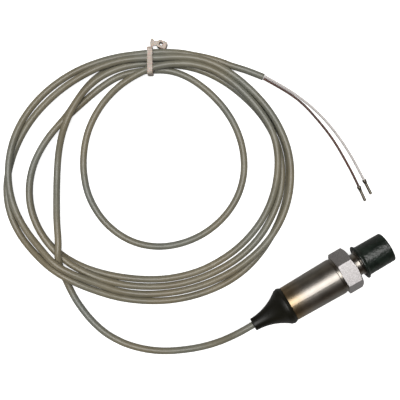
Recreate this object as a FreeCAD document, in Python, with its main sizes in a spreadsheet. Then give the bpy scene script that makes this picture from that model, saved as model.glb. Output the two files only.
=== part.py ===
import FreeCAD, Part
import math
import os

import Sketcher
from FreeCAD import Placement, Rotation, Vector

# Pressure transmitter with a moulded-on lead, lying on one flat of its hexagon.
# The frame: +X runs along the instrument from the lead to the pressure port, +Z is up,
# and the floor is z = 0. The origin is under the middle of the instrument.
# Lengths are millimetres. Stations along the instrument are counted from the tip of the boot.

doc = FreeCAD.newDocument("pressure_transmitter")

# ---------------------------------------------------------------- driving dimensions
DRIVING_DIMENSIONS = [
    ("hex_flats", 19.0, "hexagon, across flats"),
    ("hex_length", 8.0, "hexagon, along the axis"),
    ("hex_chamfer_angle", 30.0, "chamfer on the hexagon's corners, degrees"),
    ("weld_ring_length", 1.3, "ring between the can and the hexagon"),
    ("weld_ring_diameter", 17.9, "ring between the can and the hexagon"),
    ("can_length", 27.0, "stainless can"),
    ("can_rear_diameter", 17.5, "can, at the boot"),
    ("can_front_diameter", 18.5, "can, at the hexagon"),
    ("can_bore", 15.5, "can, inside"),
    ("can_edge", 0.25, "bevel of the can's rims"),
    ("fit_clearance", 0.03, "radial room between pieces pressed or moulded together"),
    ("spigot_length", 3.0, "port's spigot inside the can"),
    ("thread_diameter", 13.1, "G 1/4 A thread, major diameter"),
    ("thread_length", 13.0, "threaded length"),
    ("thread_chamfer", 1.0, "lead-in chamfer of the thread"),
    ("relief_diameter", 11.2, "thread relief behind the hexagon"),
    ("relief_length", 3.7, "thread relief behind the hexagon"),
    ("inlet_bore", 3.5, "pressure inlet"),
    ("inlet_countersink", 0.6, "break of the inlet's edge"),
    ("cell_diameter", 13.0, "ceramic measuring cell"),
    ("cell_thickness", 4.8, "ceramic measuring cell"),
    ("cell_recess_diameter", 8.0, "hollow behind the cell's membrane"),
    ("cell_recess_depth", 0.3, "hollow behind the cell's membrane"),
    ("socket_clearance", 0.25, "radial room round the cell"),
    ("seal_section", 1.6, "cell's sealing ring, thickness along the axis"),
    ("seal_width", 1.9, "cell's sealing ring, across its section"),
    ("seal_mean_diameter", 9.6, "cell's sealing ring"),
    ("seal_groove_depth", 1.4, "groove that holds the sealing ring"),
    ("retainer_thickness", 2.0, "threaded ring behind the cell"),
    ("retainer_bore", 9.4, "threaded ring behind the cell"),
    ("retainer_slot", 1.6, "spanner slots of the threaded ring"),
    ("pin_diameter", 0.6, "contact and link pins"),
    ("pin_circle", 6.4, "circle of the contact pins"),
    ("pin_count", 4, "contact pins and link pins, each"),
    ("board_thickness", 1.0, "printed circuit boards"),
    ("board_clearance", 0.3, "radial room round the boards"),
    ("cell_to_board", 4.6, "cell's rear face to the first board"),
    ("board_gap", 4.4, "between the two boards"),
    ("link_circle", 10.6, "circle of the link pins"),
    ("spacer_wall", 0.8, "ring between the boards"),
    ("chip_side", 4.0, "amplifier chip, square"),
    ("chip_height", 1.3, "amplifier chip"),
    ("boot_length", 20.0, "strain relief boot, outside the can"),
    ("boot_tip_diameter", 6.5, "strain relief boot, at its tip"),
    ("boot_flank_radius", 27.0, "hollow curve of the boot's flank"),
    ("boot_flank_length", 16.6, "curved part of the boot"),
    ("boot_rim_diameter", 18.9, "boot's widest edge"),
    ("boot_rim_station", 18.4, "tip to the boot's widest edge"),
    ("boot_seat_diameter", 17.5, "boot's face on the can"),
    ("boot_plug_length", 3.0, "boot's plug inside the can"),
    ("nose_diameter", 8.0, "end plug's nose inside the boot"),
    ("nose_length", 4.2, "end plug's nose inside the boot"),
    ("nose_barb", 0.5, "barb that holds the boot"),
    ("end_plug_length", 6.0, "plug that closes the can"),
    ("ring_section", 1.5, "end plug's sealing ring"),
    ("ring_squeeze", 0.15, "radial room that the sealing ring closes"),
    ("sleeve_length", 4.0, "crimped sleeve on the lead"),
    ("sleeve_wall", 0.9, "crimped sleeve on the lead"),
    ("lead_diameter", 3.4, "lead, over its jacket"),
    ("lead_clearance", 0.05, "radial room round the lead"),
    ("core_diameter", 1.2, "insulated cores"),
    ("core_offset", 0.8, "core's line from the lead's middle"),
    ("jacket_stub", 0.6, "jacket past the crimped sleeve"),
    ("cap_clearance", 0.08, "radial room round the thread, inside the cap"),
    ("cap_wall", 0.95, "protective cap, side wall at its mouth"),
    ("cap_draft", 0.1, "taper of the cap's wall, from the mouth to the end"),
    ("cap_end_wall", 1.7, "protective cap, closed end"),
    ("cap_depth", 14.0, "protective cap, inside"),
    ("cap_gap", 0.9, "stem's end to the cap's end wall"),
    ("cap_lip_diameter", 17.2, "flared lip of the cap"),
    ("cap_lip_thickness", 0.8, "flared lip of the cap"),
    ("cap_flare_length", 1.5, "hollow curve from the lip to the wall"),
    ("cap_lip_edge", 0.2, "bevel of the lip"),
    ("cap_edge_radius", 0.7, "outer edge of the closed end"),
    ("cap_flute_depth", 0.15, "shallow vent flutes inside the cap"),
    ("cap_flute_width", 1.2, "shallow vent flutes inside the cap"),
    ("cap_flute_count", 3, "shallow vent flutes inside the cap"),
    ("bundle_inside", 48.0, "turns at the cable tie, from the coil's middle"),
    ("bundle_outside", 59.6, "turns at the cable tie, from the coil's middle"),
    ("coil_height", 7.2, "two layers of the coiled lead"),
    ("coil_edge", 1.0, "bevel of the coil's edges"),
    ("floor_clearance", 0.05, "coil and ends above the floor"),
    ("tie_width", 2.8, "cable tie's strap"),
    ("tie_thickness", 1.0, "cable tie's strap"),
    ("tie_clearance", 0.3, "strap to the coil"),
    ("tie_corner_radius", 0.5, "bend of the strap round the coil, inside"),
    ("tie_head_gap", 0.7, "cable tie's head to the bundle"),
    ("tie_head_shift", 5.3, "strap's middle to the head's middle, along the coil"),
    ("tie_head_width", 4.8, "cable tie's head, along the coil"),
    ("tie_head_depth", 3.7, "cable tie's head, outwards"),
    ("tie_head_height", 4.2, "cable tie's head, upwards"),
    ("tie_head_turn", -14.0, "cable tie's head seen from above, degrees"),
    ("tie_head_foot", 1.3, "cable tie's head above the floor"),
    ("tie_slot", 1.6, "square slot through the head"),
    ("tie_tail_reach", 5.2, "tip of the cut-off tail, outwards from the coil"),
    ("ferrule_length", 8.0, "crimped end sleeves"),
    ("ferrule_diameter", 1.4, "crimped end sleeves"),
    ("ferrule_mouth_diameter", 2.0, "flared mouth of the end sleeves"),
    ("ferrule_mouth_length", 0.9, "flared mouth of the end sleeves"),
    ("ferrule_grip", 1.4, "insulation inside the end sleeves"),
    ("core_clearance", 0.04, "radial room round the insulation"),
]

dims = doc.addObject("Spreadsheet::Sheet", "Dims")
for row, (alias, size, note) in enumerate(DRIVING_DIMENSIONS, start=1):
    dims.set(f"A{row}", note)
    dims.set(f"B{row}", str(size))
    dims.setAlias(f"B{row}", alias)
doc.recompute()

# ---------------------------------------------------------------- derived stations
STATIONS = [
    ("can_start", "=Dims.boot_length"),
    ("can_end", "=can_start + Dims.can_length"),
    ("hex_start", "=can_end + Dims.weld_ring_length"),
    ("hex_end", "=hex_start + Dims.hex_length"),
    ("relief_end", "=hex_end + Dims.relief_length"),
    ("stem_end", "=relief_end + Dims.thread_length"),
    ("cap_inner_end", "=stem_end + Dims.cap_gap"),
    ("cap_mouth", "=cap_inner_end - Dims.cap_depth"),
    ("overall", "=cap_inner_end + Dims.cap_end_wall"),
    ("spigot_start", "=can_end - Dims.spigot_length"),
    ("socket_bore", "=Dims.cell_diameter + 2 * Dims.socket_clearance"),
    ("retainer_start", "=spigot_start + 0.3"),
    ("cell_rear", "=retainer_start + Dims.retainer_thickness"),
    ("cell_front", "=cell_rear + Dims.cell_thickness"),
    ("socket_floor", "=cell_front + Dims.seal_section - Dims.seal_groove_depth"),
    ("groove_floor", "=cell_front + Dims.seal_section"),
    ("board_diameter", "=Dims.can_bore - 2 * Dims.board_clearance"),
    ("front_board_end", "=cell_rear - Dims.cell_to_board"),
    ("front_board_start", "=front_board_end - Dims.board_thickness"),
    ("rear_board_end", "=front_board_start - Dims.board_gap"),
    ("rear_board_start", "=rear_board_end - Dims.board_thickness"),
    ("plug_start", "=can_start + Dims.boot_plug_length"),
    ("plug_end", "=plug_start + Dims.end_plug_length"),
    ("sleeve_end", "=plug_end + Dims.sleeve_length"),
    ("jacket_end", "=sleeve_end + Dims.jacket_stub"),
    ("axis_height", "=Dims.hex_flats / 2"),
    ("hex_corners", "=Dims.hex_flats / cos(30 deg)"),
    ("lead_bore", "=Dims.lead_diameter + 2 * Dims.lead_clearance"),
    ("hex_chamfer", "=(hex_corners - Dims.hex_flats) / 2 * tan(Dims.hex_chamfer_angle * 1 deg)"),
    ("cap_bore", "=Dims.thread_diameter + 2 * Dims.cap_clearance"),
    ("cap_outside", "=cap_bore + 2 * Dims.cap_wall"),
    ("cap_flare_height", "=(Dims.cap_lip_diameter - cap_outside) / 2"),
    ("cap_flare_radius", "=(Dims.cap_flare_length ^ 2 + cap_flare_height ^ 2) / (2 * cap_flare_height)"),
]

stations = doc.addObject("Spreadsheet::Sheet", "Stations")
for row, (alias, formula) in enumerate(STATIONS, start=1):
    stations.set(f"A{row}", alias)
    stations.set(f"B{row}", formula)
    stations.setAlias(f"B{row}", alias)
    doc.recompute()


def value(expression):
    """An expression of driving dimensions and stations, as a number."""
    return float(dims.evalExpression(expression))


# ---------------------------------------------------------------- helpers
exported = []


def keep(feature):
    """Marks a finished sub-part for export."""
    exported.append(feature)
    return feature


def on_axis(feature):
    """Puts a piece that is drawn round the X axis on the instrument's axis."""
    feature.setExpression(".Placement.Base.x", "-Stations.overall / 2")
    feature.setExpression(".Placement.Base.z", "Stations.axis_height")


def new_body(label):
    body = doc.addObject("PartDesign::Body", label)
    body.Label = label
    return body


def origin_plane(body, role):
    return next(item for item in body.Origin.OriginFeatures if item.Role == role)


def new_sketch(body, name, role):
    sketch = body.newObject("Sketcher::SketchObject", name)
    sketch.AttachmentSupport = [(origin_plane(body, role), "")]
    sketch.MapMode = "FlatFace"
    return sketch


def bind_point(sketch, geometry, end, across, upward):
    """Fixes a point of a sketch at two expressions, measured from the sketch's origin."""
    for kind, expression in (("DistanceX", across), ("DistanceY", upward)):
        number = value(expression)
        if abs(number) < 1e-9:
            axis = -2 if kind == "DistanceX" else -1
            sketch.addConstraint(Sketcher.Constraint("PointOnObject", geometry, end, axis))
            continue
        index = sketch.addConstraint(Sketcher.Constraint(kind, -1, 1, geometry, end, number))
        sketch.setExpression(f"Constraints[{index}]", expression)


def draw_outline(sketch, points, arcs=None):
    """Draws a closed outline through bound points; arcs gives some edges a bound radius.

    points are pairs of expressions. arcs maps the number of the point where an edge
    starts to (radius expression, side): side +1 bulges to the left of the edge.
    """
    arcs = arcs or {}
    places = [Vector(value(a), value(b), 0)
              for a, b in points]
    first = sketch.GeometryCount
    count = len(points)
    for number, start in enumerate(places):
        stop = places[(number + 1) % count]
        if number in arcs:
            radius = value(arcs[number][0])
            chord = stop - start
            rise = radius - math.sqrt(radius ** 2 - (chord.Length / 2) ** 2)
            left = Vector(-chord.y, chord.x, 0).normalize()
            middle = (start + stop) / 2 + left * (arcs[number][1] * rise)
            sketch.addGeometry(Part.Arc(start, middle, stop))
        else:
            sketch.addGeometry(Part.LineSegment(start, stop))
    ends = []
    for number in range(count):
        curve = sketch.Geometry[first + number]
        forward = (curve.StartPoint - places[number]).Length < 1e-6
        ends.append((1, 2) if forward else (2, 1))
    for number in range(count):
        following = (number + 1) % count
        sketch.addConstraint(Sketcher.Constraint(
            "Coincident", first + number, ends[number][1], first + following, ends[following][0]))
        bind_point(sketch, first + number, ends[number][0], *points[number])
    for number, (radius, _) in arcs.items():
        index = sketch.addConstraint(Sketcher.Constraint("Radius", first + number, value(radius)))
        sketch.setExpression(f"Constraints[{index}]", radius)


def revolve(body, sketch, name, kind="PartDesign::Revolution"):
    feature = body.newObject(kind, name)
    feature.Profile = sketch
    feature.ReferenceAxis = (sketch, ["H_Axis"])
    feature.Angle = 360
    sketch.Visibility = False
    doc.recompute()
    return feature


def turned(label, points, arcs=None):
    """A piece turned about the X axis from an outline of (station, radius) expressions."""
    body = new_body(label)
    sketch = new_sketch(body, f"{label}_outline", "XZ_Plane")
    draw_outline(sketch, points, arcs)
    revolve(body, sketch, f"{label}_turned")
    return body


def rims(feature, station, radius):
    """Names of the round edges of a feature at a station and radius (expressions)."""
    station = value(station)
    radius = value(radius)
    found = []
    for number, edge in enumerate(feature.Shape.Edges, start=1):
        curve = edge.Curve
        if isinstance(curve, Part.Circle) and abs(curve.Center.x - station) < 1e-4 \
                and abs(curve.Radius - radius) < 1e-4:
            found.append(f"Edge{number}")
    return found


def soften(body, name, edges, expression, kind="PartDesign::Fillet"):
    base = body.Tip
    feature = body.newObject(kind, name)
    feature.Base = (base, edges)
    feature.setExpression("Radius" if kind == "PartDesign::Fillet" else "Size", expression)
    doc.recompute()
    return feature


def rod(name, length, diameter, station, across="0", upward="0"):
    """A round pin along the X axis, from a station on."""
    pin = doc.addObject("Part::Cylinder", name)
    pin.Placement.Rotation = Rotation(Vector(0, 1, 0), 90)
    pin.setExpression("Height", length)
    pin.setExpression("Radius", f"({diameter}) / 2")
    pin.setExpression(".Placement.Base.x", station)
    pin.setExpression(".Placement.Base.y", across)
    pin.setExpression(".Placement.Base.z", upward)
    return pin


def block(name, station, length, width, height, across="0", upward="0"):
    """A chip that lies flat against a board: length runs along the axis."""
    chip = doc.addObject("Part::Box", name)
    chip.setExpression("Length", length)
    chip.setExpression("Width", width)
    chip.setExpression("Height", height)
    chip.setExpression(".Placement.Base.x", station)
    chip.setExpression(".Placement.Base.y", f"({across}) - ({width}) / 2")
    chip.setExpression(".Placement.Base.z", f"({upward}) - ({height}) / 2")
    return chip


def group(label, members):
    """Several separate solids in one node."""
    compound = doc.addObject("Part::Compound", label)
    compound.Label = label
    compound.Links = members
    return compound


def rounded_corner(before, corner, after):
    """Start, middle and end of the arc that rounds a corner, with its radius."""
    into = (corner - before).normalize()
    out = (after - corner).normalize()
    shorter = min((corner - before).Length, (after - corner).Length)
    half_turn = into.getAngle(out) / 2
    setback = 0.45 * shorter
    radius = setback / math.tan(half_turn)
    inward = (out - into).normalize()
    middle = corner + inward * (radius / math.cos(half_turn) - radius)
    return corner - into * setback, middle, corner + out * setback, radius


def round_path(points):
    """Straight runs joined by tangent arcs, each as large as its two runs allow."""
    edges = []
    radii = []
    start = points[0]
    for before, corner, after in zip(points, points[1:], points[2:]):
        enter, middle, leave, radius = rounded_corner(before, corner, after)
        edges.append(Part.LineSegment(start, enter).toShape())
        edges.append(Part.Arc(enter, middle, leave).toShape())
        radii.append(radius)
        start = leave
    edges.append(Part.LineSegment(start, points[-1]).toShape())
    return Part.Wire(edges), radii


def routed(label, points, diameter):
    """A free cord: a round section carried along its route."""
    path, radii = round_path(points)
    ring = Part.Circle(points[0], points[1] - points[0], diameter / 2)
    solid = path.makePipeShell([Part.Wire(ring.toShape())], True, False)
    feature = doc.addObject("Part::Feature", label)
    feature.Label = label
    feature.Shape = Part.Solid(solid.Shells[0]) if solid.ShapeType != "Solid" else solid
    expected = math.pi * diameter ** 2 / 4 * path.Length
    print(f"{label}: length {path.Length:.1f}, volume {feature.Shape.Volume:.1f} of {expected:.1f}, "
          f"radii {' '.join(f'{radius:.0f}' for radius in radii)}")
    return feature


def clock_circle(count, diameter):
    """(across, upward) expressions of points evenly spaced on a circle."""
    turns = [(number + 0.5) * 360 / count for number in range(count)]
    return [(f"({diameter}) / 2 * cos({turn} deg)", f"({diameter}) / 2 * sin({turn} deg)")
            for turn in turns]


# ---------------------------------------------------------------- pressure port
def make_pressure_port():
    """Hexagon, threaded stem, inlet and the socket for the cell, turned from one bar."""
    body = turned("pressure_port", [
        ("Stations.spigot_start", "Stations.socket_bore / 2"),
        ("Stations.spigot_start", "Dims.can_bore / 2 - Dims.fit_clearance"),
        ("Stations.can_end", "Dims.can_bore / 2 - Dims.fit_clearance"),
        ("Stations.can_end", "Dims.weld_ring_diameter / 2"),
        ("Stations.hex_start", "Dims.weld_ring_diameter / 2"),
        ("Stations.hex_start", "Dims.hex_flats / 2"),
        ("Stations.hex_start + Stations.hex_chamfer", "Stations.hex_corners / 2"),
        ("Stations.hex_end - Stations.hex_chamfer", "Stations.hex_corners / 2"),
        ("Stations.hex_end", "Dims.hex_flats / 2"),
        ("Stations.hex_end", "Dims.relief_diameter / 2"),
        ("Stations.relief_end - (Dims.thread_diameter - Dims.relief_diameter) / 2",
         "Dims.relief_diameter / 2"),
        ("Stations.relief_end", "Dims.thread_diameter / 2"),
        ("Stations.stem_end - Dims.thread_chamfer", "Dims.thread_diameter / 2"),
        ("Stations.stem_end", "Dims.thread_diameter / 2 - Dims.thread_chamfer"),
        ("Stations.stem_end", "Dims.inlet_bore / 2 + Dims.inlet_countersink"),
        ("Stations.stem_end - Dims.inlet_countersink", "Dims.inlet_bore / 2"),
        ("Stations.socket_floor", "Dims.inlet_bore / 2"),
        ("Stations.socket_floor", "(Dims.seal_mean_diameter - Dims.seal_width) / 2"),
        ("Stations.groove_floor", "(Dims.seal_mean_diameter - Dims.seal_width) / 2"),
        ("Stations.groove_floor", "(Dims.seal_mean_diameter + Dims.seal_width) / 2"),
        ("Stations.socket_floor", "(Dims.seal_mean_diameter + Dims.seal_width) / 2"),
        ("Stations.socket_floor", "Stations.socket_bore / 2"),
    ])
    # The six flats are milled: what lies outside the hexagon is cut off between its two faces.
    sketch = new_sketch(body, "hexagon", "YZ_Plane")
    sketch.setExpression(".AttachmentOffset.Base.z", "Stations.hex_start")
    corner = value("Stations.hex_corners / 2")
    bar = value("Stations.hex_corners")
    spots = [Vector(corner * math.cos(math.radians(60 * n)), corner * math.sin(math.radians(60 * n)), 0)
             for n in range(6)]
    for number in range(6):
        sketch.addGeometry(Part.LineSegment(spots[number], spots[(number + 1) % 6]))
    for number in range(6):
        following = (number + 1) % 6
        sketch.addConstraint(Sketcher.Constraint("Coincident", number, 2, following, 1))
        bind_point(sketch, number, 1,
                   f"Stations.hex_corners / 2 * cos({60 * number} deg)" if number % 3 else
                   f"Stations.hex_corners / 2 * {1 if number == 0 else -1}",
                   f"Stations.hex_corners / 2 * sin({60 * number} deg)" if number % 3 else "0")
    rim = sketch.addGeometry(Part.Circle(Vector(0, 0, 0), Vector(0, 0, 1), bar))
    sketch.addConstraint(Sketcher.Constraint("Coincident", rim, 3, -1, 1))
    index = sketch.addConstraint(Sketcher.Constraint("Radius", rim, bar))
    sketch.setExpression(f"Constraints[{index}]", "Stations.hex_corners")
    before = body.Shape.Volume
    cut = body.newObject("PartDesign::Pocket", "flats")
    cut.Profile = sketch
    cut.setExpression("Length", "Dims.hex_length")
    cut.Reversed = True
    doc.recompute()
    if body.Shape.Volume > before - 1:
        cut.Reversed = False
        doc.recompute()
    print(f"pressure_port: flats take off {before - body.Shape.Volume:.0f} mm3")
    on_axis(body)
    return keep(body)


# ---------------------------------------------------------------- can and its closure
def make_can():
    """Thin can, bored straight and turned to a slight taper outside."""
    body = turned("housing_can", [
        ("Stations.can_start", "Dims.can_bore / 2"),
        ("Stations.can_start", "Dims.can_rear_diameter / 2"),
        ("Stations.can_end", "Dims.can_front_diameter / 2"),
        ("Stations.can_end", "Dims.can_bore / 2"),
    ])
    edges = (rims(body.Tip, "Stations.can_start", "Dims.can_rear_diameter / 2")
             + rims(body.Tip, "Stations.can_end", "Dims.can_front_diameter / 2"))
    soften(body, "can_rims", edges, "Dims.can_edge", "PartDesign::Chamfer")
    on_axis(body)
    return keep(body)


def make_boot():
    """Trumpet-shaped rubber boot with a plug in the can and an undercut for the end plug's nose."""
    body = turned("strain_relief_boot", [
        ("0", "Stations.lead_bore / 2"),
        ("0", "Dims.boot_tip_diameter / 2"),
        ("Dims.boot_flank_length",
         "Dims.boot_tip_diameter / 2 + Dims.boot_flank_radius"
         " - sqrt(Dims.boot_flank_radius ^ 2 - Dims.boot_flank_length ^ 2)"),
        ("Dims.boot_rim_station", "Dims.boot_rim_diameter / 2"),
        ("Stations.can_start", "Dims.boot_seat_diameter / 2"),
        ("Stations.can_start", "Dims.can_bore / 2 - Dims.fit_clearance"),
        ("Stations.plug_start", "Dims.can_bore / 2 - Dims.fit_clearance"),
        ("Stations.plug_start", "Dims.nose_diameter / 2 + Dims.fit_clearance"),
        ("Stations.plug_start - Dims.nose_length / 2", "Dims.nose_diameter / 2 + Dims.fit_clearance"),
        ("Stations.plug_start - Dims.nose_length / 2",
         "Dims.nose_diameter / 2 + Dims.nose_barb + Dims.fit_clearance"),
        ("Stations.plug_start - Dims.nose_length",
         "Dims.nose_diameter / 2 - Dims.nose_barb + Dims.fit_clearance"),
        ("Stations.plug_start - Dims.nose_length", "Stations.lead_bore / 2"),
    ], arcs={1: ("Dims.boot_flank_radius", -1)})
    on_axis(body)
    return keep(body)


def make_end_plug():
    """Moulded plug that closes the can, with a groove for its seal and a barbed nose."""
    groove_floor = "(Dims.can_bore - 2 * Dims.ring_section) / 2"
    body = turned("end_plug", [
        ("Stations.plug_start - Dims.nose_length", "Stations.lead_bore / 2"),
        ("Stations.plug_start - Dims.nose_length", "Dims.nose_diameter / 2 - Dims.nose_barb"),
        ("Stations.plug_start - Dims.nose_length / 2", "Dims.nose_diameter / 2 + Dims.nose_barb"),
        ("Stations.plug_start - Dims.nose_length / 2", "Dims.nose_diameter / 2"),
        ("Stations.plug_start", "Dims.nose_diameter / 2"),
        ("Stations.plug_start", "Dims.can_bore / 2 - Dims.ring_squeeze"),
        ("(Stations.plug_start + Stations.plug_end) / 2 - 0.6 * Dims.ring_section",
         "Dims.can_bore / 2 - Dims.ring_squeeze"),
        ("(Stations.plug_start + Stations.plug_end) / 2 - 0.6 * Dims.ring_section", groove_floor),
        ("(Stations.plug_start + Stations.plug_end) / 2 + 0.6 * Dims.ring_section", groove_floor),
        ("(Stations.plug_start + Stations.plug_end) / 2 + 0.6 * Dims.ring_section",
         "Dims.can_bore / 2 - Dims.ring_squeeze"),
        ("Stations.plug_end", "Dims.can_bore / 2 - Dims.ring_squeeze"),
        ("Stations.plug_end", "Stations.lead_bore / 2"),
    ])
    on_axis(body)
    return keep(body)


def make_plug_seal():
    """Sealing ring in the end plug's groove, pressed flat against the groove's floor and the can."""
    middle = "(Stations.plug_start + Stations.plug_end) / 2"
    outer = "Dims.can_bore / 2 - Dims.fit_clearance / 2"
    inner = "Dims.can_bore / 2 - Dims.ring_section"
    body = turned("plug_seal", [
        (f"{middle} - 0.25 * Dims.ring_section", inner),
        (f"{middle} - 0.5 * Dims.ring_section", f"{inner} + 0.25 * Dims.ring_section"),
        (f"{middle} - 0.5 * Dims.ring_section", f"{outer} - 0.25 * Dims.ring_section"),
        (f"{middle} - 0.25 * Dims.ring_section", outer),
        (f"{middle} + 0.25 * Dims.ring_section", outer),
        (f"{middle} + 0.5 * Dims.ring_section", f"{outer} - 0.25 * Dims.ring_section"),
        (f"{middle} + 0.5 * Dims.ring_section", f"{inner} + 0.25 * Dims.ring_section"),
        (f"{middle} + 0.25 * Dims.ring_section", inner),
    ])
    on_axis(body)
    return keep(body)


def make_crimp_sleeve():
    """Sleeve crimped on the jacket behind the end plug, so that the lead can't be pulled out."""
    outside = "Dims.lead_diameter / 2 + Dims.sleeve_wall"
    inside = "Stations.lead_bore / 2"
    body = turned("crimp_sleeve", [
        ("Stations.plug_end", inside),
        ("Stations.plug_end", outside),
        ("Stations.plug_end + 0.3 * Dims.sleeve_length", outside),
        ("Stations.plug_end + 0.4 * Dims.sleeve_length", "Dims.lead_diameter / 2 + Dims.sleeve_wall / 2"),
        ("Stations.plug_end + 0.6 * Dims.sleeve_length", "Dims.lead_diameter / 2 + Dims.sleeve_wall / 2"),
        ("Stations.plug_end + 0.7 * Dims.sleeve_length", outside),
        ("Stations.sleeve_end", outside),
        ("Stations.sleeve_end", inside),
    ])
    on_axis(body)
    return keep(body)


# ---------------------------------------------------------------- measuring cell
def make_cell():
    """Ceramic cell: a thick disc with a shallow hollow behind its membrane."""
    body = turned("sensing_cell", [
        ("Stations.cell_rear", "0"),
        ("Stations.cell_rear", "Dims.cell_diameter / 2"),
        ("Stations.cell_front", "Dims.cell_diameter / 2"),
        ("Stations.cell_front", "Dims.cell_recess_diameter / 2"),
        ("Stations.cell_front - Dims.cell_recess_depth", "Dims.cell_recess_diameter / 2"),
        ("Stations.cell_front - Dims.cell_recess_depth", "0"),
    ])
    on_axis(body)
    return keep(body)


def make_cell_seal():
    """Sealing ring in the port's groove, pressed flat between the cell and the groove's floor."""
    inner = "(Dims.seal_mean_diameter - Dims.seal_width) / 2 + Dims.fit_clearance"
    outer = "(Dims.seal_mean_diameter + Dims.seal_width) / 2 - Dims.fit_clearance"
    flat = "0.25 * Dims.seal_width"
    body = turned("cell_seal", [
        ("Stations.cell_front", f"{inner} + {flat}"),
        ("Stations.cell_front", f"{outer} - {flat}"),
        ("Stations.cell_front + 0.3 * Dims.seal_section", outer),
        ("Stations.groove_floor - 0.3 * Dims.seal_section", outer),
        ("Stations.groove_floor", f"{outer} - {flat}"),
        ("Stations.groove_floor", f"{inner} + {flat}"),
        ("Stations.groove_floor - 0.3 * Dims.seal_section", inner),
        ("Stations.cell_front + 0.3 * Dims.seal_section", inner),
    ])
    on_axis(body)
    return keep(body)


def make_retainer():
    """Threaded ring that clamps the cell, with two spanner slots across its rear face."""
    body = turned("retaining_ring", [
        ("Stations.retainer_start", "Dims.retainer_bore / 2"),
        ("Stations.retainer_start", "Stations.socket_bore / 2 - Dims.fit_clearance"),
        ("Stations.cell_rear", "Stations.socket_bore / 2 - Dims.fit_clearance"),
        ("Stations.cell_rear", "Dims.retainer_bore / 2"),
    ])
    sketch = new_sketch(body, "spanner_slot", "XZ_Plane")
    draw_outline(sketch, [
        ("Stations.retainer_start - 1", "-Dims.retainer_slot / 2"),
        ("Stations.retainer_start + Dims.retainer_thickness / 2", "-Dims.retainer_slot / 2"),
        ("Stations.retainer_start + Dims.retainer_thickness / 2", "Dims.retainer_slot / 2"),
        ("Stations.retainer_start - 1", "Dims.retainer_slot / 2"),
    ])
    slot = body.newObject("PartDesign::Pocket", "spanner_slots")
    slot.Profile = sketch
    slot.Midplane = True
    slot.setExpression("Length", "Stations.socket_bore + 2")
    doc.recompute()
    on_axis(body)
    return keep(body)


# ---------------------------------------------------------------- electronics
def make_board(label, start, end):
    """Round circuit board."""
    body = turned(label, [
        (start, "0"),
        (start, "Stations.board_diameter / 2"),
        (end, "Stations.board_diameter / 2"),
        (end, "0"),
    ])
    on_axis(body)
    return keep(body)


def make_pins(label, length, start, circle):
    """Pins evenly spaced on a circle."""
    pins = [rod(f"{label}_{number}", length, "Dims.pin_diameter", start, across, upward)
            for number, (across, upward) in enumerate(clock_circle(int(value("Dims.pin_count")), circle), 1)]
    pins = group(label, pins)
    on_axis(pins)
    return keep(pins)


def make_spacer():
    """Ring that holds the two boards apart."""
    body = turned("board_spacer", [
        ("Stations.rear_board_end", "Stations.board_diameter / 2 - Dims.spacer_wall"),
        ("Stations.rear_board_end", "Stations.board_diameter / 2"),
        ("Stations.front_board_start", "Stations.board_diameter / 2"),
        ("Stations.front_board_start", "Stations.board_diameter / 2 - Dims.spacer_wall"),
    ])
    on_axis(body)
    return keep(body)


def make_front_chips():
    """Amplifier chip and two capacitors on the board next to the cell."""
    start = "Stations.front_board_start - Dims.chip_height"
    members = [
        block("amplifier_chip", start, "Dims.chip_height", "Dims.chip_side", "Dims.chip_side"),
        block("supply_capacitor", start, "Dims.chip_height", "1.2", "2.0", upward="Dims.chip_side"),
        block("output_capacitor", start, "Dims.chip_height", "1.2", "2.0", upward="-Dims.chip_side"),
    ]
    chips = group("amplifier_parts", members)
    on_axis(chips)
    return keep(chips)


def make_rear_chips():
    """Surge suppressor and filter parts on the board next to the lead."""
    start = "Stations.rear_board_end"
    members = [
        block("surge_suppressor", start, "1.8", "3.6", "2.4"),
        block("filter_inductor", start, "2.2", "2.6", "2.6", upward="3.2"),
        block("filter_capacitor", start, "1.2", "2.6", "1.6", upward="-2.8"),
    ]
    chips = group("filter_parts", members)
    on_axis(chips)
    return keep(chips)


def make_inner_core(label, side):
    """Insulated core from the jacket's end to the rear board."""
    core = rod(label, "Stations.rear_board_start - Stations.jacket_end", "Dims.core_diameter",
               "Stations.jacket_end - Stations.overall / 2", f"{side} * Dims.core_offset",
               "Stations.axis_height")
    core.Label = label
    return keep(core)


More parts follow.
